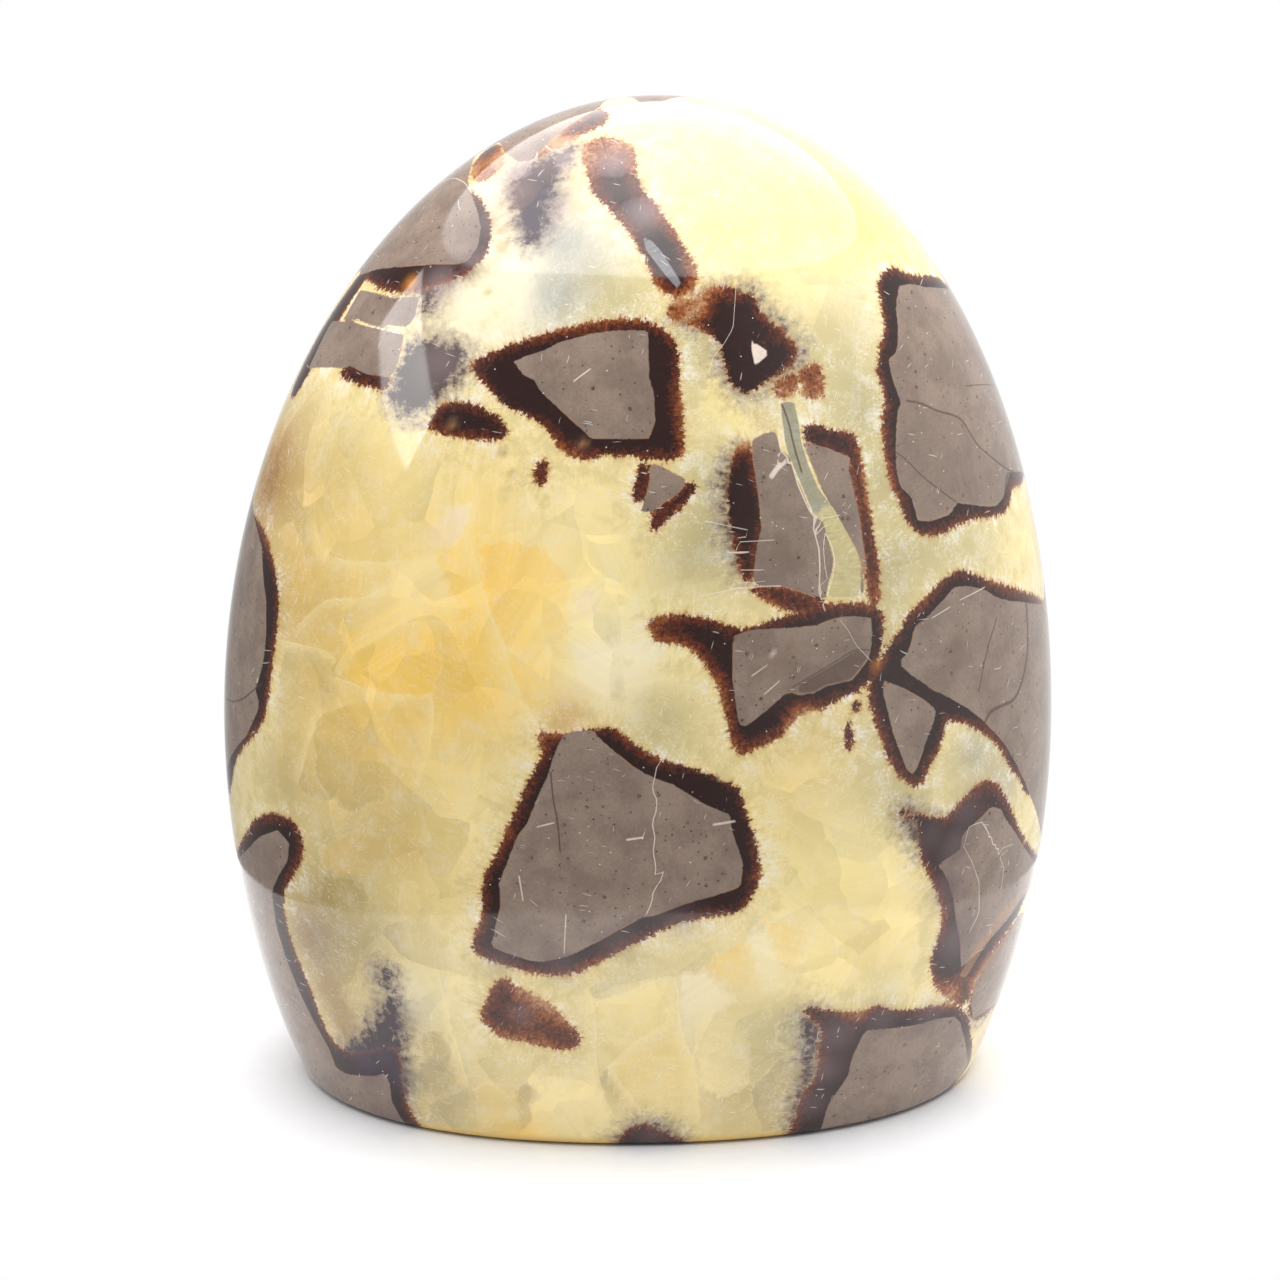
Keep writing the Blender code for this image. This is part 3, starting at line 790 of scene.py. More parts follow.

# The calcite's tint: what it is all over, and soft spots on top with a radius in millimetres, a strength
# and the place. A few spots also carry painted shade and painted glow, where marked below.
CALCITE_TINT = "straw"
TINTS = spots(
    "seen",
    # The gold spots round the middle are the calcite's own gold, made lighter with painted glow of light
    # through the stone.
    ("gold", 14, 0.85, 440, 600), ("gold", 8, 0.6, 350, 690), ("gold", 6, 0.6, 470, 680),
    # The amber brown spots along the left edge are partly the calcite's own colour and partly painted shade
    # with a painted brown reflection.
    ("amber brown", 9, 1.0, 268, 480), ("amber brown", 5, 0.6, 286, 600), ("khaki", 5, 0.5, 345, 470),
    ("ochre", 8, 0.5, 300, 560), ("ochre", 9, 0.6, 350, 770), ("khaki", 5, 0.6, 290, 780),
    ("olive", 7, 0.6, 318, 896), ("drab", 5, 0.5, 360, 850), ("celadon", 5, 0.5, 385, 930),
    # The bark spots at the lower left, at (310, 940) and (338, 1010), are partly the calcite's own brown and
    # partly painted shade.
    ("ice", 3.5, 0.6, 416, 1000), ("olive", 4, 0.4, 405, 850), ("bark", 5, 0.7, 310, 940),
    ("bark", 4, 0.6, 338, 1010), ("olive", 5, 0.5, 365, 960), ("wheat", 9, 0.6, 440, 880),
    ("straw", 6, 0.6, 430, 490), ("cream", 6, 0.4, 400, 570), ("butter", 8, 0.8, 630, 610),
    ("butter", 6, 0.6, 560, 640), ("cream", 6, 0.5, 560, 520), ("shell", 5, 0.8, 612, 660),
    ("butter", 4, 0.9, 618, 634), ("shell", 3.5, 0.6, 620, 640), ("cream", 5, 0.6, 838, 800),
    ("shell", 4, 0.5, 846, 806), ("amber", 2.6, 0.5, 566, 722), ("ice", 8, 0.8, 540, 300),
    ("ice", 6, 0.9, 610, 232), ("pearl", 4, 0.9, 568, 240), ("pearl", 3, 0.7, 600, 262),
    ("dusk", 3.5, 0.9, 524, 176), ("dusk", 3.5, 0.9, 550, 200), ("dusk", 3.5, 0.9, 446, 286),
    ("pearl", 3.5, 0.9, 560, 296), ("celadon", 5, 0.8, 618, 298), ("shell", 5, 0.9, 470, 315),
    ("rose", 3.5, 0.9, 496, 214), ("amber", 1.6, 0.5, 648, 152), ("ice", 8, 0.6, 840, 300),
    ("celadon", 5, 0.95, 818, 344), ("mint", 7, 0.8, 846, 370), ("celadon", 4, 0.8, 862, 410),
    ("mint", 5, 0.7, 700, 380), ("celadon", 3.5, 0.7, 704, 340), ("celadon", 3.5, 0.6, 704, 480),
    ("mint", 6, 0.8, 700, 560), ("celadon", 4, 0.7, 716, 530), ("celadon", 4.5, 0.9, 890, 480),
    ("celadon", 5, 0.9, 890, 570), ("mint", 6, 0.9, 970, 545), ("celadon", 4, 0.9, 896, 740),
    ("celadon", 4, 0.7, 884, 640), ("celadon", 4, 0.7, 990, 770), ("celadon", 4, 0.6, 930, 545),
    ("mint", 6, 0.9, 872, 790), ("celadon", 4, 0.8, 905, 800), ("mint", 5, 0.9, 985, 765),
    ("pearl", 4, 0.5, 1004, 790), ("pearl", 3, 0.5, 975, 750), ("celadon", 4, 0.6, 660, 728),
    ("khaki", 4, 0.5, 810, 740), ("wheat", 8, 0.6, 800, 800), ("butter", 7, 0.7, 830, 870),
    ("wheat", 6, 0.8, 865, 945), ("mint", 4, 0.7, 880, 990), ("lemon", 12, 0.95, 770, 190),
    ("gold", 6, 0.4, 850, 225), ("butter", 9, 0.8, 700, 160), ("dun", 9, 0.4, 600, 1060),
    ("dun", 7, 0.35, 700, 1020), ("dusk", 2.6, 0.7, 808, 1036), ("mint", 5, 0.6, 440, 1000),
    ("drab", 5, 0.5, 318, 940), ("dun", 6, 0.7, 440, 1080), ("dun", 7, 0.6, 750, 1095),
    ("celadon", 4.5, 0.9, 780, 1036), ("straw", 5, 0.5, 480, 960), ("gold", 3, 0.7, 520, 1140),
) + spots(
    "beside",
    ("tan", 3, 0.8, 84, 8), ("gold", 16, 0.8, -175, 60), ("gold", 10, 0.7, 110, 55),
    ("cream", 12, 0.7, 175, 92), ("mint", 10, 0.6, -130, 75), ("ochre", 10, 0.7, -108, 34),
    ("wheat", 12, 0.7, 150, 22), ("mint", 9, 0.6, 150, 66),
) + spots("over", ("butter", 10, 0.8, 12, 6)) + spots("under", ("gold", 12, 0.7, 0, 4))

# Small soft flecks over everything else, by ink: each with a radius in millimetres, a strength and its pixel
FLECKS = {
    "tan": [(0.5, 0.6, 583, 444), (2.5, 0.5, 986, 1035), (0.5, 0.6, 452, 424)],
    "amber": [(0.9, 0.9, 411, 283), (0.6, 0.6, 877, 665)],
    "bark": [
        # The first three bark flecks, at the lower left, are partly the calcite's own brown and partly
        # painted shade.
        (2.6, 0.35, 306, 935), (2.6, 0.35, 324, 985), (2.4, 0.4, 345, 1030), (0.5, 0.7, 503, 451),
        (0.35, 0.8, 513, 474), (0.9, 0.5, 500, 247), (0.6, 0.6, 500, 231), (0.6, 0.5, 512, 206)],
    "bark purple": [(2.4, 0.75, 520, 192), (2.4, 0.6, 544, 164), (2.0, 0.5, 634, 186)],
    "violet": [
        (2.4, 0.6, 532, 222), (2.0, 0.5, 543, 200), (2.6, 0.5, 396, 1020), (2.4, 0.8, 364, 1056),
        (2.4, 0.8, 384, 1056), (2.2, 0.7, 402, 1076)],
    "dusk": [
        (2.4, 0.6, 614, 162), (2.2, 0.6, 562, 158), (3.0, 0.45, 440, 362), (2.4, 0.5, 440, 284),
        (2.6, 0.6, 518, 170), (2.2, 0.6, 644, 212)],
    "plum": [
        (2.4, 0.6, 956, 846), (2.2, 0.5, 880, 1020), (2.2, 0.5, 930, 1016), (2.2, 0.5, 966, 812),
        (2.0, 0.4, 932, 836), (1.3, 0.7, 521, 1013), (2.6, 0.7, 949, 890), (2.6, 0.7, 954, 940),
        (2.4, 0.7, 836, 1036), (2.4, 0.7, 824, 1070), (2.4, 0.6, 810, 1104), (2.4, 0.5, 652, 1136),
        (2.2, 0.4, 500, 962), (2.2, 0.4, 560, 966), (2.4, 0.4, 620, 944), (2.4, 0.4, 680, 918),
        (2.0, 0.5, 487, 222), (2.0, 0.5, 472, 264), (2.2, 0.4, 612, 188)],
    "rust": [(2.2, 0.45, 489, 160), (0.35, 0.8, 789, 647)],
    "white": [(0.3, 0.8, 798, 669), (0.25, 0.7, 772, 655)],
    "earth": [(2.6, 0.45, 786, 664), (2.4, 0.35, 835, 642), (2.6, 0.3, 788, 548), (2.8, 0.25, 960, 650)],
    "moss": [(0.55, 0.8, 488, 292)],
}


def screen_colour(name):
    """A named colour as the shader takes it: linear, by the sRGB curve of screens."""
    parts = []
    for part in INK[name]:
        share = part / 255.0
        parts.append(share / 12.92 if share <= 0.04045 else ((share + 0.055) / 1.055) ** 2.4)
    return (*parts, 1.0)


def put_in_scene(name, data):
    """A new object in the scene, from its data."""
    item = bpy.data.objects.new(name, data)
    bpy.context.scene.collection.objects.link(item)
    return item


def stone_section(level, inset=0.0):
    """One level section of the egg, closer divided at the front, moved in by inset."""
    rise = (level - WIDEST_LEVEL) / HALF_HEIGHT
    share = max(0.0, 1.0 - rise * rise) ** 0.5
    middle = CROWN_LEAN * max(0.0, rise) ** 2
    even = np.linspace(0.0, 2.0 * pi, SECTION_SIDES, endpoint=False)
    turn = even - FRONT_CROWDING * np.sin(even) - 0.5 * pi
    across = (HALF_WIDTH * share - inset) * np.cos(turn) * (1.0 + SECTION_FULLNESS * np.sin(turn) ** 2)
    back = (HALF_DEPTH * share - inset) * np.sin(turn) * (1.0 + SECTION_FULLNESS * np.cos(turn) ** 2)
    return np.stack([middle + across, back, np.full(SECTION_SIDES, level)], axis=1)


def stone_rings():
    """All rings of the skin, from near the middle of the base up to near the crown."""
    base = stone_section(0.0, inset=BASE_EDGE)
    corner = stone_section(0.0)
    side = stone_section(BASE_EDGE)
    rings = [base * (step / BASE_RINGS) for step in range(1, BASE_RINGS)]
    for step in range(EDGE_RINGS + 1):
        along = step / EDGE_RINGS
        rings.append(base * (1.0 - along) ** 2 + corner * 2.0 * along * (1.0 - along) + side * along ** 2)
    start = asin((BASE_EDGE - WIDEST_LEVEL) / HALF_HEIGHT)
    turn = (0.5 * pi - start) / SIDE_RINGS
    for step in range(1, SIDE_RINGS):
        rings.append(stone_section(WIDEST_LEVEL + HALF_HEIGHT * sin(start + turn * step)))
    return rings


def make_skin():
    """The stone's closed fine skin, as an object."""
    rings = stone_rings()
    points = [(0.0, 0.0, 0.0)]
    points += [tuple(point) for ring in rings for point in ring]
    points.append((CROWN_LEAN, 0.0, WIDEST_LEVEL + HALF_HEIGHT))
    crown = len(points) - 1
    last = crown - SECTION_SIDES
    faces = []
    for side in range(SECTION_SIDES):
        next_side = (side + 1) % SECTION_SIDES
        faces.append((0, 1 + next_side, 1 + side))
        for ring in range(len(rings) - 1):
            lower = 1 + ring * SECTION_SIDES
            upper = lower + SECTION_SIDES
            faces.append((lower + side, lower + next_side, upper + next_side, upper + side))
        faces.append((last + side, last + next_side, crown))
    mesh = bpy.data.meshes.new("stone_skin")
    mesh.from_pydata(points, [], faces)
    mesh.shade_smooth()
    return put_in_scene("stone_skin", mesh)


def make_camera():
    """The camera, where the photograph's was."""
    data = bpy.data.cameras.new("camera")
    data.sensor_width = SENSOR_WIDTH
    data.lens = SENSOR_WIDTH * FOCAL_PIXELS / PHOTO_SIDE
    camera = put_in_scene("camera", data)
    across = sin(CAMERA_BEARING) * cos(CAMERA_RISE)
    ahead = cos(CAMERA_BEARING) * cos(CAMERA_RISE)
    back = Vector((across, -ahead, sin(CAMERA_RISE)))
    camera.location = CAMERA_TARGET + CAMERA_DISTANCE * back
    camera.rotation_euler = (-back).to_track_quat("-Z", "Y").to_euler()
    bpy.context.scene.camera = camera
    return camera


class Surface:
    """The skin, as somewhere to lay marks and to measure from them, in millimetres."""

    def __init__(self, skin, camera):
        self.mesh = skin.data
        count = len(self.mesh.vertices)
        places = np.empty(count * 3)
        self.mesh.vertices.foreach_get("co", places)
        normals = np.empty(count * 3)
        self.mesh.vertices.foreach_get("normal", normals)
        self.places = places.reshape(-1, 3) / MILLIMETRE
        self.normals = normals.reshape(-1, 3)
        faces = [face.vertices for face in self.mesh.polygons]
        self.tree = BVHTree.FromPolygons([Vector(place) for place in self.places], faces)
        self.eye = camera.location / MILLIMETRE
        self.eye_turn = camera.rotation_euler.to_matrix()

    def under_pixel(self, x, y):
        """The point of the stone at a pixel. A pixel just off the stone is moved in until it is on it."""
        middle = 0.5 * PHOTO_SIDE
        for step in range(MOST_STEPS_IN):
            share = 1.0 - STEP_IN * step
            look = Vector(((x - middle) * share, (middle - y) * share, -FOCAL_PIXELS))
            hit = self.tree.ray_cast(self.eye, (self.eye_turn @ look).normalized())[0]
            if hit:
                return hit
        raise ValueError(f"there is no stone near pixel {x}, {y}")

    def lay(self, point):
        """A point of a mark, on the stone."""
        kind, first, second = point
        if kind == "seen":
            return self.under_pixel(first, second)
        if kind == "beside":
            outward = Vector((sin(radians(first)), -cos(radians(first)), 0.0))
            start = Vector((0.0, 0.0, second)) + outward * FAR_OUT
            return self.tree.ray_cast(start, -outward)[0]
        up = Vector((0.0, 0.0, 1.0 if kind == "over" else -1.0))
        start = Vector((first, second, 0.0)) + up * FAR_OUT
        return self.tree.ray_cast(start, -up)[0]

    def line(self, points, closed, rounded):
        """A mark laid out in short even steps on the stone, and the stone's normals there."""
        corners = [self.lay(point) for point in points]
        if rounded:
            corners = cut_corners(cut_corners(corners, closed), closed)
        ends = corners[1:] + corners[:1] if closed else corners[1:]
        laid = []
        for start, end in zip(corners, ends):
            steps = max(1, round((end - start).length / LINE_STEP))
            laid += [start.lerp(end, step / steps) for step in range(steps)]
        if not closed:
            laid.append(corners[-1])
        found = [self.tree.find_nearest(place)[:2] for place in laid]
        return np.array([place for place, _ in found]), np.array([normal for _, normal in found])

    def near_line(self, line, reach):
        """Which of the skin's points may be within reach of a line."""
        middle = line.mean(axis=0)
        radius = np.linalg.norm(line - middle, axis=1).max() + reach
        return np.flatnonzero(((self.places - middle) ** 2).sum(axis=1) < radius * radius)

    def out_of_sight(self):
        """How far each point is turned away from the camera: 0 in plain view, 1 out of sight."""
        towards = np.array(self.eye) - self.places
        towards /= np.linalg.norm(towards, axis=1, keepdims=True)
        facing = (towards * self.normals).sum(axis=1)
        return 1.0 - np.clip(facing / SIGHT_FADE, 0.0, 1.0)

    def keep(self, name, kind, values):
        """Store one value for each of the skin's points, for the material."""
        attribute = self.mesh.attributes.new(name, kind, "POINT")
        field = {"FLOAT": "value", "FLOAT_VECTOR": "vector", "FLOAT_COLOR": "color"}[kind]
        attribute.data.foreach_set(field, np.ascontiguousarray(values, dtype=np.float32).ravel())


def cut_corners(corners, closed):
    """The same line with each corner cut off, so that it bends instead of kinking."""
    ends = corners[1:] + corners[:1] if closed else corners[1:]
    cut = []
    for start, end in zip(corners, ends):
        cut += [start.lerp(end, CORNER_SHARE), start.lerp(end, 1.0 - CORNER_SHARE)]
    return cut if closed else [corners[0], *cut, corners[-1]]


def unit(vectors):
    """Vectors of length one, along the last axis."""
    return vectors / (np.linalg.norm(vectors, axis=-1, keepdims=True) + NEXT_TO_NOTHING)


def nearest_on_line(places, line, normals, closed):
    """For each place: the nearest point of a line, and there which way its right side is and the normal."""
    before = np.roll(line, 1, axis=0)
    after = np.roll(line, -1, axis=0)
    if not closed:
        before[0] = 2.0 * line[0] - line[1]
        after[-1] = 2.0 * line[-1] - line[-2]
    into = unit(line - before)
    out = unit(after - line)
    gaps = (line ** 2).sum(axis=1)[None] - 2.0 * places @ line.T
    index = gaps.argmin(axis=1)
    corner = line[index]
    into = into[index]
    out = out[index]
    ahead = ((places - corner) * out).sum(axis=1)
    behind = ((corner - places) * into).sum(axis=1)
    on_out = ahead > np.maximum(behind, 0.0)
    on_into = behind > np.maximum(ahead, 0.0)
    if not closed:
        on_out &= index < len(line) - 1
        on_into &= index > 0
    foot = corner.copy()
    foot[on_out] += out[on_out] * ahead[on_out, None]
    foot[on_into] -= into[on_into] * behind[on_into, None]
    way = into + out
    way[on_out] = out[on_out]
    way[on_into] = into[on_into]
    return foot, unit(np.cross(way, normals[index])), normals[index]


class Distance:
    """How far the skin's points are from closed outlines: negative inside, with the nearest point."""

    def __init__(self, surface, outlines, rounded, reach=OUTLINE_REACH):
        self.surface = surface
        self.reach = reach
        self.gap = np.full(len(surface.places), reach)
        self.foot = surface.places.copy()
        for outline in outlines:
            self.add(*surface.line(outline, closed=True, rounded=rounded))

    def add(self, line, normals):
        """Take in one more closed outline, which may go round either way."""
        middle = line.mean(axis=0)
        turning = np.cross(line - middle, np.roll(line, -1, axis=0) - middle).sum(axis=0)
        if turning @ normals.mean(axis=0) < 0.0:
            line = line[::-1]
            normals = normals[::-1]
        near = self.surface.near_line(line, self.reach)
        places = self.surface.places[near]
        foot, side, facing = nearest_on_line(places, line, normals, closed=True)
        away = places - foot
        gap = np.linalg.norm(away, axis=1) * np.sign((away * side).sum(axis=1))
        same_face = (facing * self.surface.normals[near]).sum(axis=1) > LEAST_FACING
        closer = same_face & (gap < self.gap[near])
        self.gap[near[closer]] = gap[closer]
        self.foot[near[closer]] = foot[closer]


def lay_lines(surface, name, lines, rounded=False):
    """Fine lines: how far the skin's points are to the side of the nearest one, in half widths, and how
    far from it in millimetres, which ends it."""
    to_side = np.full(len(surface.places), LINE_REACH)
    gap = np.full(len(surface.places), LINE_REACH)
    for width, points in lines:
        line, normals = surface.line(points, closed=False, rounded=rounded)
        if len(line) > SHORT_LINE_POINTS:
            line, normals = line[1:-1], normals[1:-1]
        near = surface.near_line(line, LINE_REACH)
        places = surface.places[near]
        foot, side, facing = nearest_on_line(places, line, normals, closed=False)
        away = places - foot
        here = np.linalg.norm(away, axis=1)
        closer = (here < gap[near]) & ((facing * surface.normals[near]).sum(axis=1) > 0.0)
        gap[near[closer]] = here[closer]
        to_side[near[closer]] = (away * side).sum(axis=1)[closer] / (0.5 * width)
    surface.keep(name + "_side", "FLOAT", to_side)
    surface.keep(name + "_gap", "FLOAT", gap)


def soft_spot(surface, point, radius):
    """A round soft spot: 1 at its middle, fading to about a third at its radius."""
    middle = np.array(surface.lay(point))
    return np.exp(-((surface.places - middle) ** 2).sum(axis=1) / radius ** 2)


def slow_noise(places, size):
    """Noise from -1 to 1 at some places, with waves of that size in millimetres."""
    return np.array([noise.noise(Vector(place) / size) for place in places])


def lay_tints(surface):
    """The calcite's tint, with soft spots one over the other, some of which carry painted shade and painted
    glow.
    """
    tint = np.tile(screen_colour(CALCITE_TINT), (len(surface.places), 1))
    for ink, radius, strength, point in TINTS:
        share = strength * soft_spot(surface, point, radius)[:, None]
        tint += share * (np.array(screen_colour(ink)) - tint)
    tint[:, :3] *= 1.0 + CLOUD * slow_noise(surface.places, CLOUD_SIZE)[:, None]
    surface.keep("tint", "FLOAT_COLOR", tint)


def lay_patches(surface, name, patches, fading):
    """Small areas of an ink each: how far the skin's points are from the nearest outline, negative
    inside, with that area's ink and strength. A fading one is strongest at its outline's first corner."""
    gap = np.full(len(surface.places), PATCH_REACH)
    colour = np.tile(screen_colour(CALCITE_TINT), (len(surface.places), 1))
    share = np.zeros(len(surface.places))
    for ink, strength, outline in patches:
        here = Distance(surface, [outline], rounded=False, reach=PATCH_REACH).gap
        corners = np.array([surface.lay(point) for point in outline])
        lean = corners[0] - corners.mean(axis=0)
        across = (surface.places - corners.mean(axis=0)) @ lean / (lean @ lean)
        nearer = here < gap
        gap[nearer] = here[nearer]
        colour[nearer] = screen_colour(ink)
        share[nearer] = strength
        if fading:
            share[nearer] *= np.clip(FADE_MIDDLE + FADE_GAIN * across[nearer], FADE_LEAST, 1.0)
    surface.keep(name, "FLOAT", gap)
    surface.keep(name + "_ink", "FLOAT_COLOR", colour)
    surface.keep(name + "_share", "FLOAT", share)


def lay_flecks(surface):
    """Small flecks over everything else, with their strength as a value of its own."""
    colour = np.tile(screen_colour("tan"), (len(surface.places), 1))
    strength = np.zeros(len(surface.places))
    for ink, flecks in FLECKS.items():
        for radius, most, point in spots("seen", *flecks):
            share = most * soft_spot(surface, point, radius)
            stronger = share > strength
            colour[stronger] = screen_colour(ink)
            strength[stronger] = share[stronger]
    surface.keep("fleck", "FLOAT_COLOR", colour)
    surface.keep("fleck_share", "FLOAT", strength)


def lay_rim_tones(surface):
    """How light and orange the rims are: spots, and a slow noise all over."""
    tone = RIM_UNEVENNESS * slow_noise(surface.places, RIM_WAVE)
    for most, radius, point in RIM_TONES:
        tone += most * soft_spot(surface, point, radius)
    surface.keep("rim_tone", "FLOAT", tone)


def lay_loose_places(surface):
    """The skin's own places, moved about a little, so that the cells of crystals aren't straight-sided."""
    loose = surface.places.copy()
    for size, reach in LOOSE_WAVES:
        for axis in range(3):
            loose[:, axis] += reach * slow_noise(surface.places + AXIS_SHIFT * (axis + 1), size)
    surface.keep("loose", "FLOAT_VECTOR", loose)


def lay_fragments(surface):
    """The mudstone fragments and the brown rims, with the nearest point of a rim's outer edge."""
    grey = Distance(surface, GREY.values(), rounded=False)
    for outline in UNSEEN_GREY.values():
        grey.add(*surface.line(outline, closed=True, rounded=True))
    brown = Distance(surface, RIMS.values(), rounded=True)
    hidden = surface.out_of_sight()
    uneven = hidden * sum(reach * slow_noise(surface.places, size) for size, reach in HIDDEN_WAVES)
    grey.gap += uneven
    brown.gap += uneven
    width = HIDDEN_RIM * (1.0 + RIM_SWELL * slow_noise(grey.foot, RIM_WAVE))
    own_rim = grey.gap - width * hidden + CLEAR_OF_RIM * (1.0 - hidden)
    nearer = own_rim < brown.gap
    brown.gap[nearer] = own_rim[nearer]
    brown.foot[nearer] = grey.foot[nearer]
    surface.keep("grey", "FLOAT", grey.gap)
    surface.keep("brown", "FLOAT", brown.gap)
    surface.keep("foot", "FLOAT_VECTOR", brown.foot)


def lay_marks(surface):
    """Every mark on the stone, as values of the skin's points."""
    lay_fragments(surface)
    surface.keep("smoke", "FLOAT", Distance(surface, SMOKE.values(), rounded=True).gap)
    lay_lines(surface, "dark", DARK_LINES, rounded=True)
    lay_lines(surface, "pale", PALE_LINES)
    lay_lines(surface, "seam", SEAMS, rounded=True)
    lay_patches(surface, "crystal", CRYSTALS, fading=True)
    lay_patches(surface, "patch", PATCHES, fading=False)
    lay_rim_tones(surface)
    lay_loose_places(surface)
    lay_tints(surface)
    lay_flecks(surface)


class Paint:
    """A short way to write nodes: each call adds one and gives the socket that comes out of it."""

    def __init__(self, tree):
        self.tree = tree

    def node(self, kind, out, inputs, **settings):
        """A node with its inputs set, or linked where they are sockets."""
        node = self.tree.nodes.new(kind)
        for name, value in settings.items():
            setattr(node, name, value)
        for name, value in inputs.items():
            if isinstance(value, bpy.types.NodeSocket):
                self.tree.links.new(value, node.inputs[name])
            else:
                node.inputs[name].default_value = value
        return node.outputs[out]

    def vector(self, operation, *values, out="Vector"):
        """A sum on vectors. Its value comes out where that is a number."""
        return self.node("ShaderNodeVectorMath", out, dict(enumerate(values)), operation=operation)

    def math(self, operation, *values):
        """A sum on numbers."""
        return self.node("ShaderNodeMath", 0, dict(enumerate(values)), operation=operation)

    def add(self, first, *others):
        for other in others:
            first = self.math("ADD", first, other)
        return first

    def times(self, first, *others):
        for other in others:
            first = self.math("MULTIPLY", first, other)
        return first

    def field(self, name, out="Fac"):
        """A value that the skin's points carry."""
        return self.node("ShaderNodeAttribute", out, {}, attribute_name=name)

    def ease(self, value, start, end):
        """0 at start and 1 at end, eased. Start may be the higher one."""
        inputs = {"Value": value, "From Min": start, "From Max": end}
        return self.node("ShaderNodeMapRange", "Result", inputs, interpolation_type="SMOOTHSTEP")

    def fade(self, value, name):
        """A value eased between the two of that name."""
        return self.ease(value, *FADES[name])

    def near_zero(self, value, name):
        """The same for how far a value is from zero, either way."""
        return self.fade(self.math("ABSOLUTE", value), name)

    def noise(self, at, name):
        """The noise of that name."""
        size, detail, roughness = NOISES[name]
        inputs = {"Vector": at, "Scale": 1.0 / size, "Detail": detail, "Roughness": roughness}
        return self.node("ShaderNodeTexNoise", "Fac", inputs)

    def spread(self, value, name):
        """A noise's usual range spread between the two values of that name."""
        ends = zip(("From Min", "From Max", "To Min", "To Max"), NOISE_RANGE + SPREADS[name])
        return self.node("ShaderNodeMapRange", "Result", {"Value": value, **dict(ends)}, clamp=False)

    def facets(self, at, size):
        """Facets of that size in millimetres: how far across its own facet a place is, from about -0.3 to
        0.3, and which way that is. Each facet's way is its chance colour, taken from grey."""
        chance = self.node("ShaderNodeTexVoronoi", "Color", {"Vector": at, "Scale": 1.0 / size})
        way = self.vector("SUBTRACT", chance, (NOISE_MIDDLE,) * 3)
        from_middle = self.vector("SUBTRACT", at, chance.node.outputs["Position"])
        return self.times(self.vector("DOT_PRODUCT", from_middle, way, out="Value"), 1.0 / size), way

    def dots(self, at, size, radius, share):
        """Scattered dots, in a share of cells of that size. The radius is in cell sizes, and a part of it is
        solid."""
        distance = self.node("ShaderNodeTexVoronoi", "Distance", {"Vector": at, "Scale": 1.0 / size})
        chance = self.node("ShaderNodeSeparateColor", 0, {0: distance.node.outputs["Color"]})
        there = self.math("LESS_THAN", chance, share)
        return self.times(self.ease(distance, radius, SOLID_SHARE * radius), there)

    def stretched(self, at, turn, sizes):
        """Places turned about the Y axis and divided by sizes, for marks that are longer one way."""
        inputs = {"Vector": at, "Rotation": (0.0, radians(turn), 0.0), "Scale": sizes}
        return self.node("ShaderNodeMapping", 0, inputs, vector_type="TEXTURE")

    def mix(self, share, first, second):
        """The first colour, with a share of it replaced by the second."""
        return self.node("ShaderNodeMix", 2, {0: share, 6: first, 7: second}, data_type="RGBA")

    def ink(self, colour, name, *shares):
        """A colour with a named one laid over it, by the product of some shares."""
        return self.mix(self.times(*shares), colour, screen_colour(name))

    def scale(self, vector, factor):
        """A colour or a place times a number."""
        return self.node("ShaderNodeVectorMath", 0, {0: vector, "Scale": factor}, operation="SCALE")

    def shade(self, colour, change):
        """A colour made lighter where change is above 0, and darker where it is below."""
        return self.scale(colour, self.add(change, 1.0))

    def fine_line(self, name):
        """How strongly a fine line of that name shows."""
        across = self.near_zero(self.field(name + "_side"), "line")
        return self.times(across, self.fade(self.field(name + "_gap"), "line end"))


def crystals_over(paint, colour, at, brown):
    """Crystals in the calcite: facets with fine lines, each shaded from side to side, and the laid ones."""
    loose = paint.field("loose", "Vector")
    clear = paint.fade(brown, "crystals")
    for size, lively in FACETS:
        across, way = paint.facets(loose, size)
        colour = paint.shade(colour, paint.times(clear, lively, across))
    nibble = paint.spread(paint.noise(at, "crystal edge"), "crystal edge")
    gap = paint.add(paint.field("crystal"), nibble)
    share = paint.field("crystal_share")
    laid = paint.times(paint.fade(gap, "laid crystal"), share)
    colour = paint.mix(laid, colour, paint.field("crystal_ink", "Color"))
    glow = paint.times(share, SHARES["crystal edge"])
    colour = paint.ink(colour, "shell", paint.near_zero(gap, "crystal edge"), glow)
    growth = {"W": paint.vector("DOT_PRODUCT", at, way, out="Value"), **GROWTH_LINES}
    lines = paint.node("ShaderNodeTexNoise", "Fac", growth, noise_dimensions="1D")
    return paint.shade(colour, paint.times(paint.spread(lines, "growth lines"), clear))


def fringe_over(paint, colour, brown, broad, cloud, fibre, fine):
    """The paler cottony fringe of threads round the rims, which thins out away from them."""
    fringe = paint.fade(paint.add(brown, paint.spread(broad, "ragged fringe")), "fringe")
    colour = paint.ink(colour, "mint", fringe, SHARES["fringe"])
    cotton = paint.add(broad, fine)
    for name, value in (("sage", cloud), ("ice", cloud), ("white", cotton)):
        more, everywhere = FRINGE_SHARES[name]
        share = paint.add(paint.times(fringe, more), everywhere)
        colour = paint.ink(colour, name, paint.fade(value, name), share)
    thread = paint.near_zero(paint.add(broad, -NOISE_MIDDLE), "thread")
    colour = paint.ink(colour, "shell", thread, SHARES["thread"])
    combed = paint.times(fringe, paint.spread(broad, "combed places"))
    return paint.shade(colour, paint.times(paint.spread(fibre, "comb"), combed))


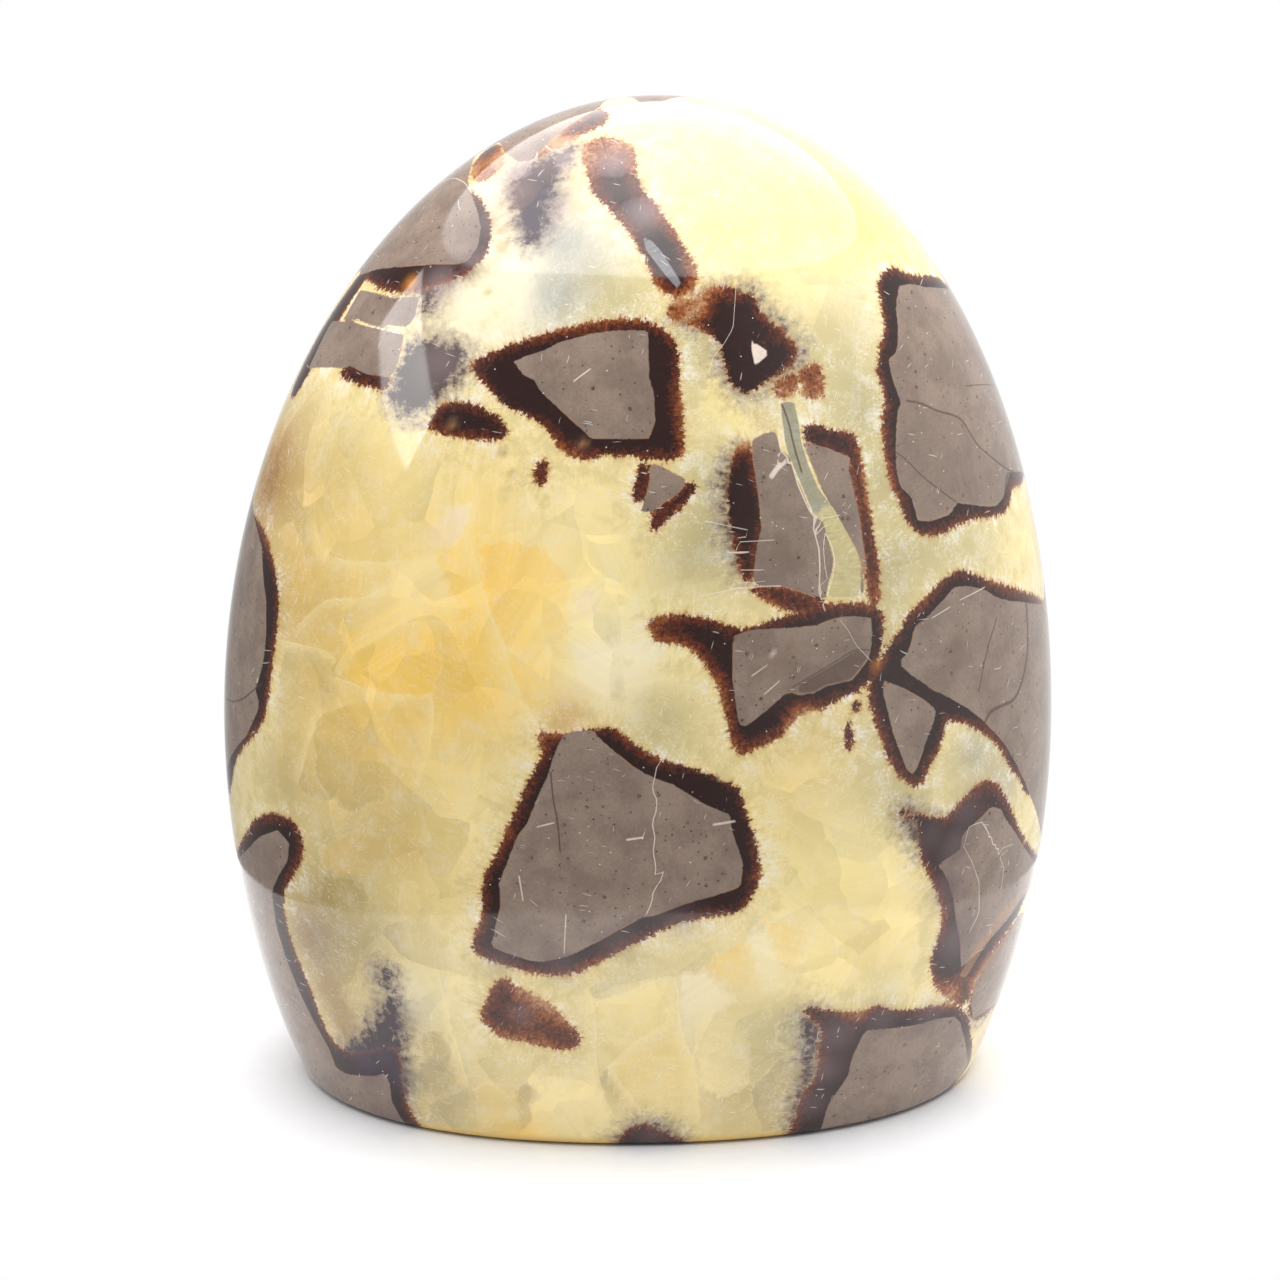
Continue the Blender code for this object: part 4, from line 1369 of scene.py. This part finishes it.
def seams_over(paint, colour, cloud):
    """Pale seams between crystals, with a sheet of lighter calcite at one side of each."""
    side = paint.field("seam_side")
    sheet = paint.times(paint.fade(side, "seam sheet"), paint.fade(side, "seam side"))
    near = paint.fade(paint.field("seam_gap"), "seam")
    colour = paint.ink(colour, "cream", sheet, near, SHARES["seam sheet"])
    return paint.ink(colour, "cream", paint.fine_line("seam"), paint.spread(cloud, "seam strength"))


def calcite(paint, at, brown, fibre, fine):
    """Golden calcite: crystals, the fringe round the rims, seams, and a painted glow of light through the
    calcite along the foot.
    """
    broad = paint.noise(at, "broad")
    cloud = paint.add(broad, paint.spread(fibre, "thready cloud"))
    colour = crystals_over(paint, paint.field("tint", "Color"), at, brown)
    colour = fringe_over(paint, colour, brown, broad, cloud, fibre, fine)
    colour = seams_over(paint, colour, cloud)
    # Painted glow: ochre over the lowest millimetres, for light coming through the calcite at the base edge.
    height = paint.node("ShaderNodeSeparateXYZ", "Z", {0: at})
    return paint.ink(colour, "ochre", paint.fade(height, "foot"))


def smoke_over(paint, colour, at, fibre):
    """Purple-black smoke in the calcite, thready at its edges, with a lighter haze round it."""
    mottle = paint.spread(paint.noise(at, "smoke mottle"), "smoke mottle")
    edge = paint.add(paint.field("smoke"), mottle, paint.spread(fibre, "smoke threads"))
    for name in ("haze", "soot"):
        colour = paint.ink(colour, name, paint.fade(edge, name), SHARES[name])
    return colour


def rim_over(paint, colour, at, edge, fibre):
    """The bristly brown rim: amber at its very edge, orange-brown, then nearly black."""
    colour = paint.ink(colour, "amber", paint.fade(edge, "amber"), SHARES["amber"])
    grain = paint.noise(at, "rim grain")
    depth = paint.math("MINIMUM", paint.times(edge, -1.0), DEEPEST_RIM)
    depth = paint.add(depth, paint.spread(grain, "rim grain"), paint.spread(fibre, "rim threads"))
    depth = paint.add(depth, paint.times(paint.field("rim_tone"), TONE_DEPTH))
    brown = screen_colour("tan")
    for name in ("orange brown", "chestnut", "burnt"):
        brown = paint.ink(brown, name, paint.fade(depth, name))
    brown = paint.scale(brown, paint.spread(grain, "rim light"))
    return paint.mix(paint.fade(edge, "rim"), colour, brown)


def mudstone(paint, at):
    """Grey mudstone: mottled and finely grained, with dark pits."""
    mottle = paint.fade(paint.noise(at, "mud mottle"), "mud mottle")
    colour = paint.ink(screen_colour("mud dark"), "mud", mottle)
    grain = paint.noise(at, "mud grain")
    colour = paint.scale(colour, paint.spread(grain, "mud light"))
    here = paint.fade(grain, "pits")
    for size, radius, share in PITS:
        colour = paint.ink(colour, "pit", paint.dots(at, size, radius, share), here)
    return colour


def border_over(paint, colour, grey, slow):
    """A thin brown border round the mudstone, in some places."""
    border = paint.times(paint.near_zero(grey, "border"), paint.fade(slow, "border places"))
    return paint.ink(colour, "tan", border, SHARES["border"])


def small_marks_over(paint, colour, fibre, slow):
    """Crisp patches, dark and pale cracks, and soft flecks."""
    patch = paint.times(paint.fade(paint.field("patch"), "patch"), paint.field("patch_share"))
    streaked = paint.scale(paint.field("patch_ink", "Color"), paint.spread(fibre, "streaks"))
    colour = paint.mix(patch, colour, streaked)
    colour = paint.ink(colour, "crack", paint.fine_line("dark"), SHARES["crack"])
    colour = paint.ink(colour, "scratch", paint.fine_line("pale"), paint.spread(slow, "scratch"))
    return paint.mix(paint.field("fleck_share"), colour, paint.field("fleck", "Color"))


def wear_over(paint, colour, at):
    """What the polish shows everywhere: pale specks and short pale scratches."""
    loose = paint.field("loose", "Vector")
    marks = paint.dots(at, *SPECKS)
    for turn, sizes, share in SCRATCHES:
        scratch = paint.dots(paint.stretched(loose, turn, sizes), 1.0, SCRATCH_RADIUS, share)
        marks = paint.math("MAXIMUM", marks, paint.times(scratch, SHARES["scratch"]))
    return paint.ink(colour, "white", marks, SHARES["wear"])


def rim_threads(paint, at):
    """A noise drawn out away from the rims, so that threads stand on them."""
    outward = {0: paint.field("foot", "Vector"), 1: (FIBRE_ALONG,) * 3, 2: paint.scale(at, FIBRE_OUT)}
    outward = paint.node("ShaderNodeVectorMath", 0, outward, operation="MULTIPLY_ADD")
    return paint.noise(outward, "fibre")


def make_stone_material():
    """Polished stone: everything that the marks say, under one clear polish."""
    material = bpy.data.materials.new("polished septarian stone")
    material.use_nodes = True
    paint = Paint(material.node_tree)
    at = paint.scale(paint.node("ShaderNodeTexCoord", "Object", {}), 1.0 / MILLIMETRE)
    brown = paint.field("brown")
    grey = paint.field("grey")
    fibre = rim_threads(paint, at)
    fine = paint.noise(at, "fine")
    slow = paint.noise(at, "slow")
    edge = paint.add(brown, paint.add(paint.spread(fibre, "bristles"), paint.spread(fine, "fray")))
    colour = calcite(paint, at, brown, fibre, fine)
    colour = smoke_over(paint, colour, at, fibre)
    colour = rim_over(paint, colour, at, edge, fibre)
    nibble = paint.add(grey, paint.spread(paint.noise(at, "mud edge"), "mud edge"))
    mud_share = paint.fade(nibble, "mudstone")
    colour = paint.mix(mud_share, colour, mudstone(paint, at))
    colour = border_over(paint, colour, grey, slow)
    colour = small_marks_over(paint, colour, fibre, slow)
    colour = wear_over(paint, colour, at)
    rougher = paint.times(mud_share, MUDSTONE_ROUGHER)
    roughness = paint.add(rougher, ROUGHNESS, paint.spread(slow, "dull places"))
    wave = {"Height": paint.noise(at, "polish"), **POLISH_BUMP}
    finish(material, {
        "Base Color": colour,
        "Roughness": roughness,
        "Normal": paint.node("ShaderNodeBump", "Normal", wave),
        "IOR": STONE_IOR,
    })
    return material


def finish(material, inputs):
    """Give a material's shader its inputs, as values or as links."""
    shader = material.node_tree.nodes["Principled BSDF"]
    for name, value in inputs.items():
        if isinstance(value, bpy.types.NodeSocket):
            material.node_tree.links.new(value, shader.inputs[name])
        else:
            shader.inputs[name].default_value = value


def make_light(name, shape, size, place, turn, brightness):
    """A flat light whose surface shines with that brightness."""
    data = bpy.data.lights.new(name, "AREA")
    data.shape = shape
    data.size, data.size_y = size
    area = size[0] * size[1] * (0.25 * pi if shape == "ELLIPSE" else 1.0)
    data.energy = brightness * pi * area
    light = put_in_scene(name, data)
    light.location = place
    light.rotation_euler = turn
    light.visible_camera = False
    return light


def make_lights():
    """A wide light overhead, whose front edge shows as the veil's, and a long low one at the left."""
    level = (0.0, 0.0, 0.0)
    make_light("overhead light", "ELLIPSE", OVERHEAD_SIZE, OVERHEAD_PLACE, level, OVERHEAD_BRIGHTNESS)
    side = make_light("left light", "RECTANGLE", LEFT_SIZE, LEFT_PLACE, level, LEFT_BRIGHTNESS)
    aim = (Vector(LEFT_TARGET) - Vector(LEFT_PLACE)).to_track_quat("-Z", "Y")
    side.rotation_euler = (aim @ Quaternion((0.0, 0.0, 1.0), LEFT_ROLL)).to_euler()


def make_floor():
    """A plain round pale floor, on which the stone stands."""
    mesh = bpy.data.meshes.new("floor")
    turns = [2.0 * pi * step / FLOOR_SIDES for step in range(FLOOR_SIDES)]
    rim = [(FLOOR_RADIUS * cos(turn), FLOOR_RADIUS * sin(turn), -FLOOR_GAP) for turn in turns]
    mesh.from_pydata(rim, [], [tuple(range(FLOOR_SIDES))])
    material = bpy.data.materials.new("pale floor")
    material.use_nodes = True
    paint = Paint(material.node_tree)
    grain = paint.noise(paint.node("ShaderNodeTexCoord", "Object", {}), "floor")
    tone = paint.mix(grain, *FLOOR_TONES)
    finish(material, {"Base Color": tone, "Roughness": FLOOR_ROUGHNESS, "Specular IOR Level": FLOOR_SHINE})
    mesh.materials.append(material)
    return put_in_scene("floor", mesh)


def make_world():
    """White round about as the camera sees it. As a light it is white behind the stone and at its right,
    and dim in front and at its left."""
    world = bpy.data.worlds.new("studio")
    world.use_nodes = True
    bpy.context.scene.world = world
    paint = Paint(world.node_tree)
    way = paint.node("ShaderNodeTexCoord", "Generated", {})
    towards = paint.vector("DOT_PRODUCT", way, BRIGHT_SIDE, out="Value")
    room = paint.mix(paint.fade(towards, "room"), ROOM_FRONT, ROOM_BACK)
    shown = paint.node("ShaderNodeLightPath", "Is Camera Ray", {})
    background = world.node_tree.nodes["Background"]
    world.node_tree.links.new(paint.mix(shown, room, WHITE), background.inputs["Color"])


def build():
    """The whole scene."""
    camera = make_camera()
    skin = make_skin()
    lay_marks(Surface(skin, camera))
    skin.data.materials.append(make_stone_material())
    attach(skin, "root")
    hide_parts("stone")
    make_floor()
    make_lights()
    make_world()
    bpy.context.scene.view_settings.view_transform = "Standard"


build()
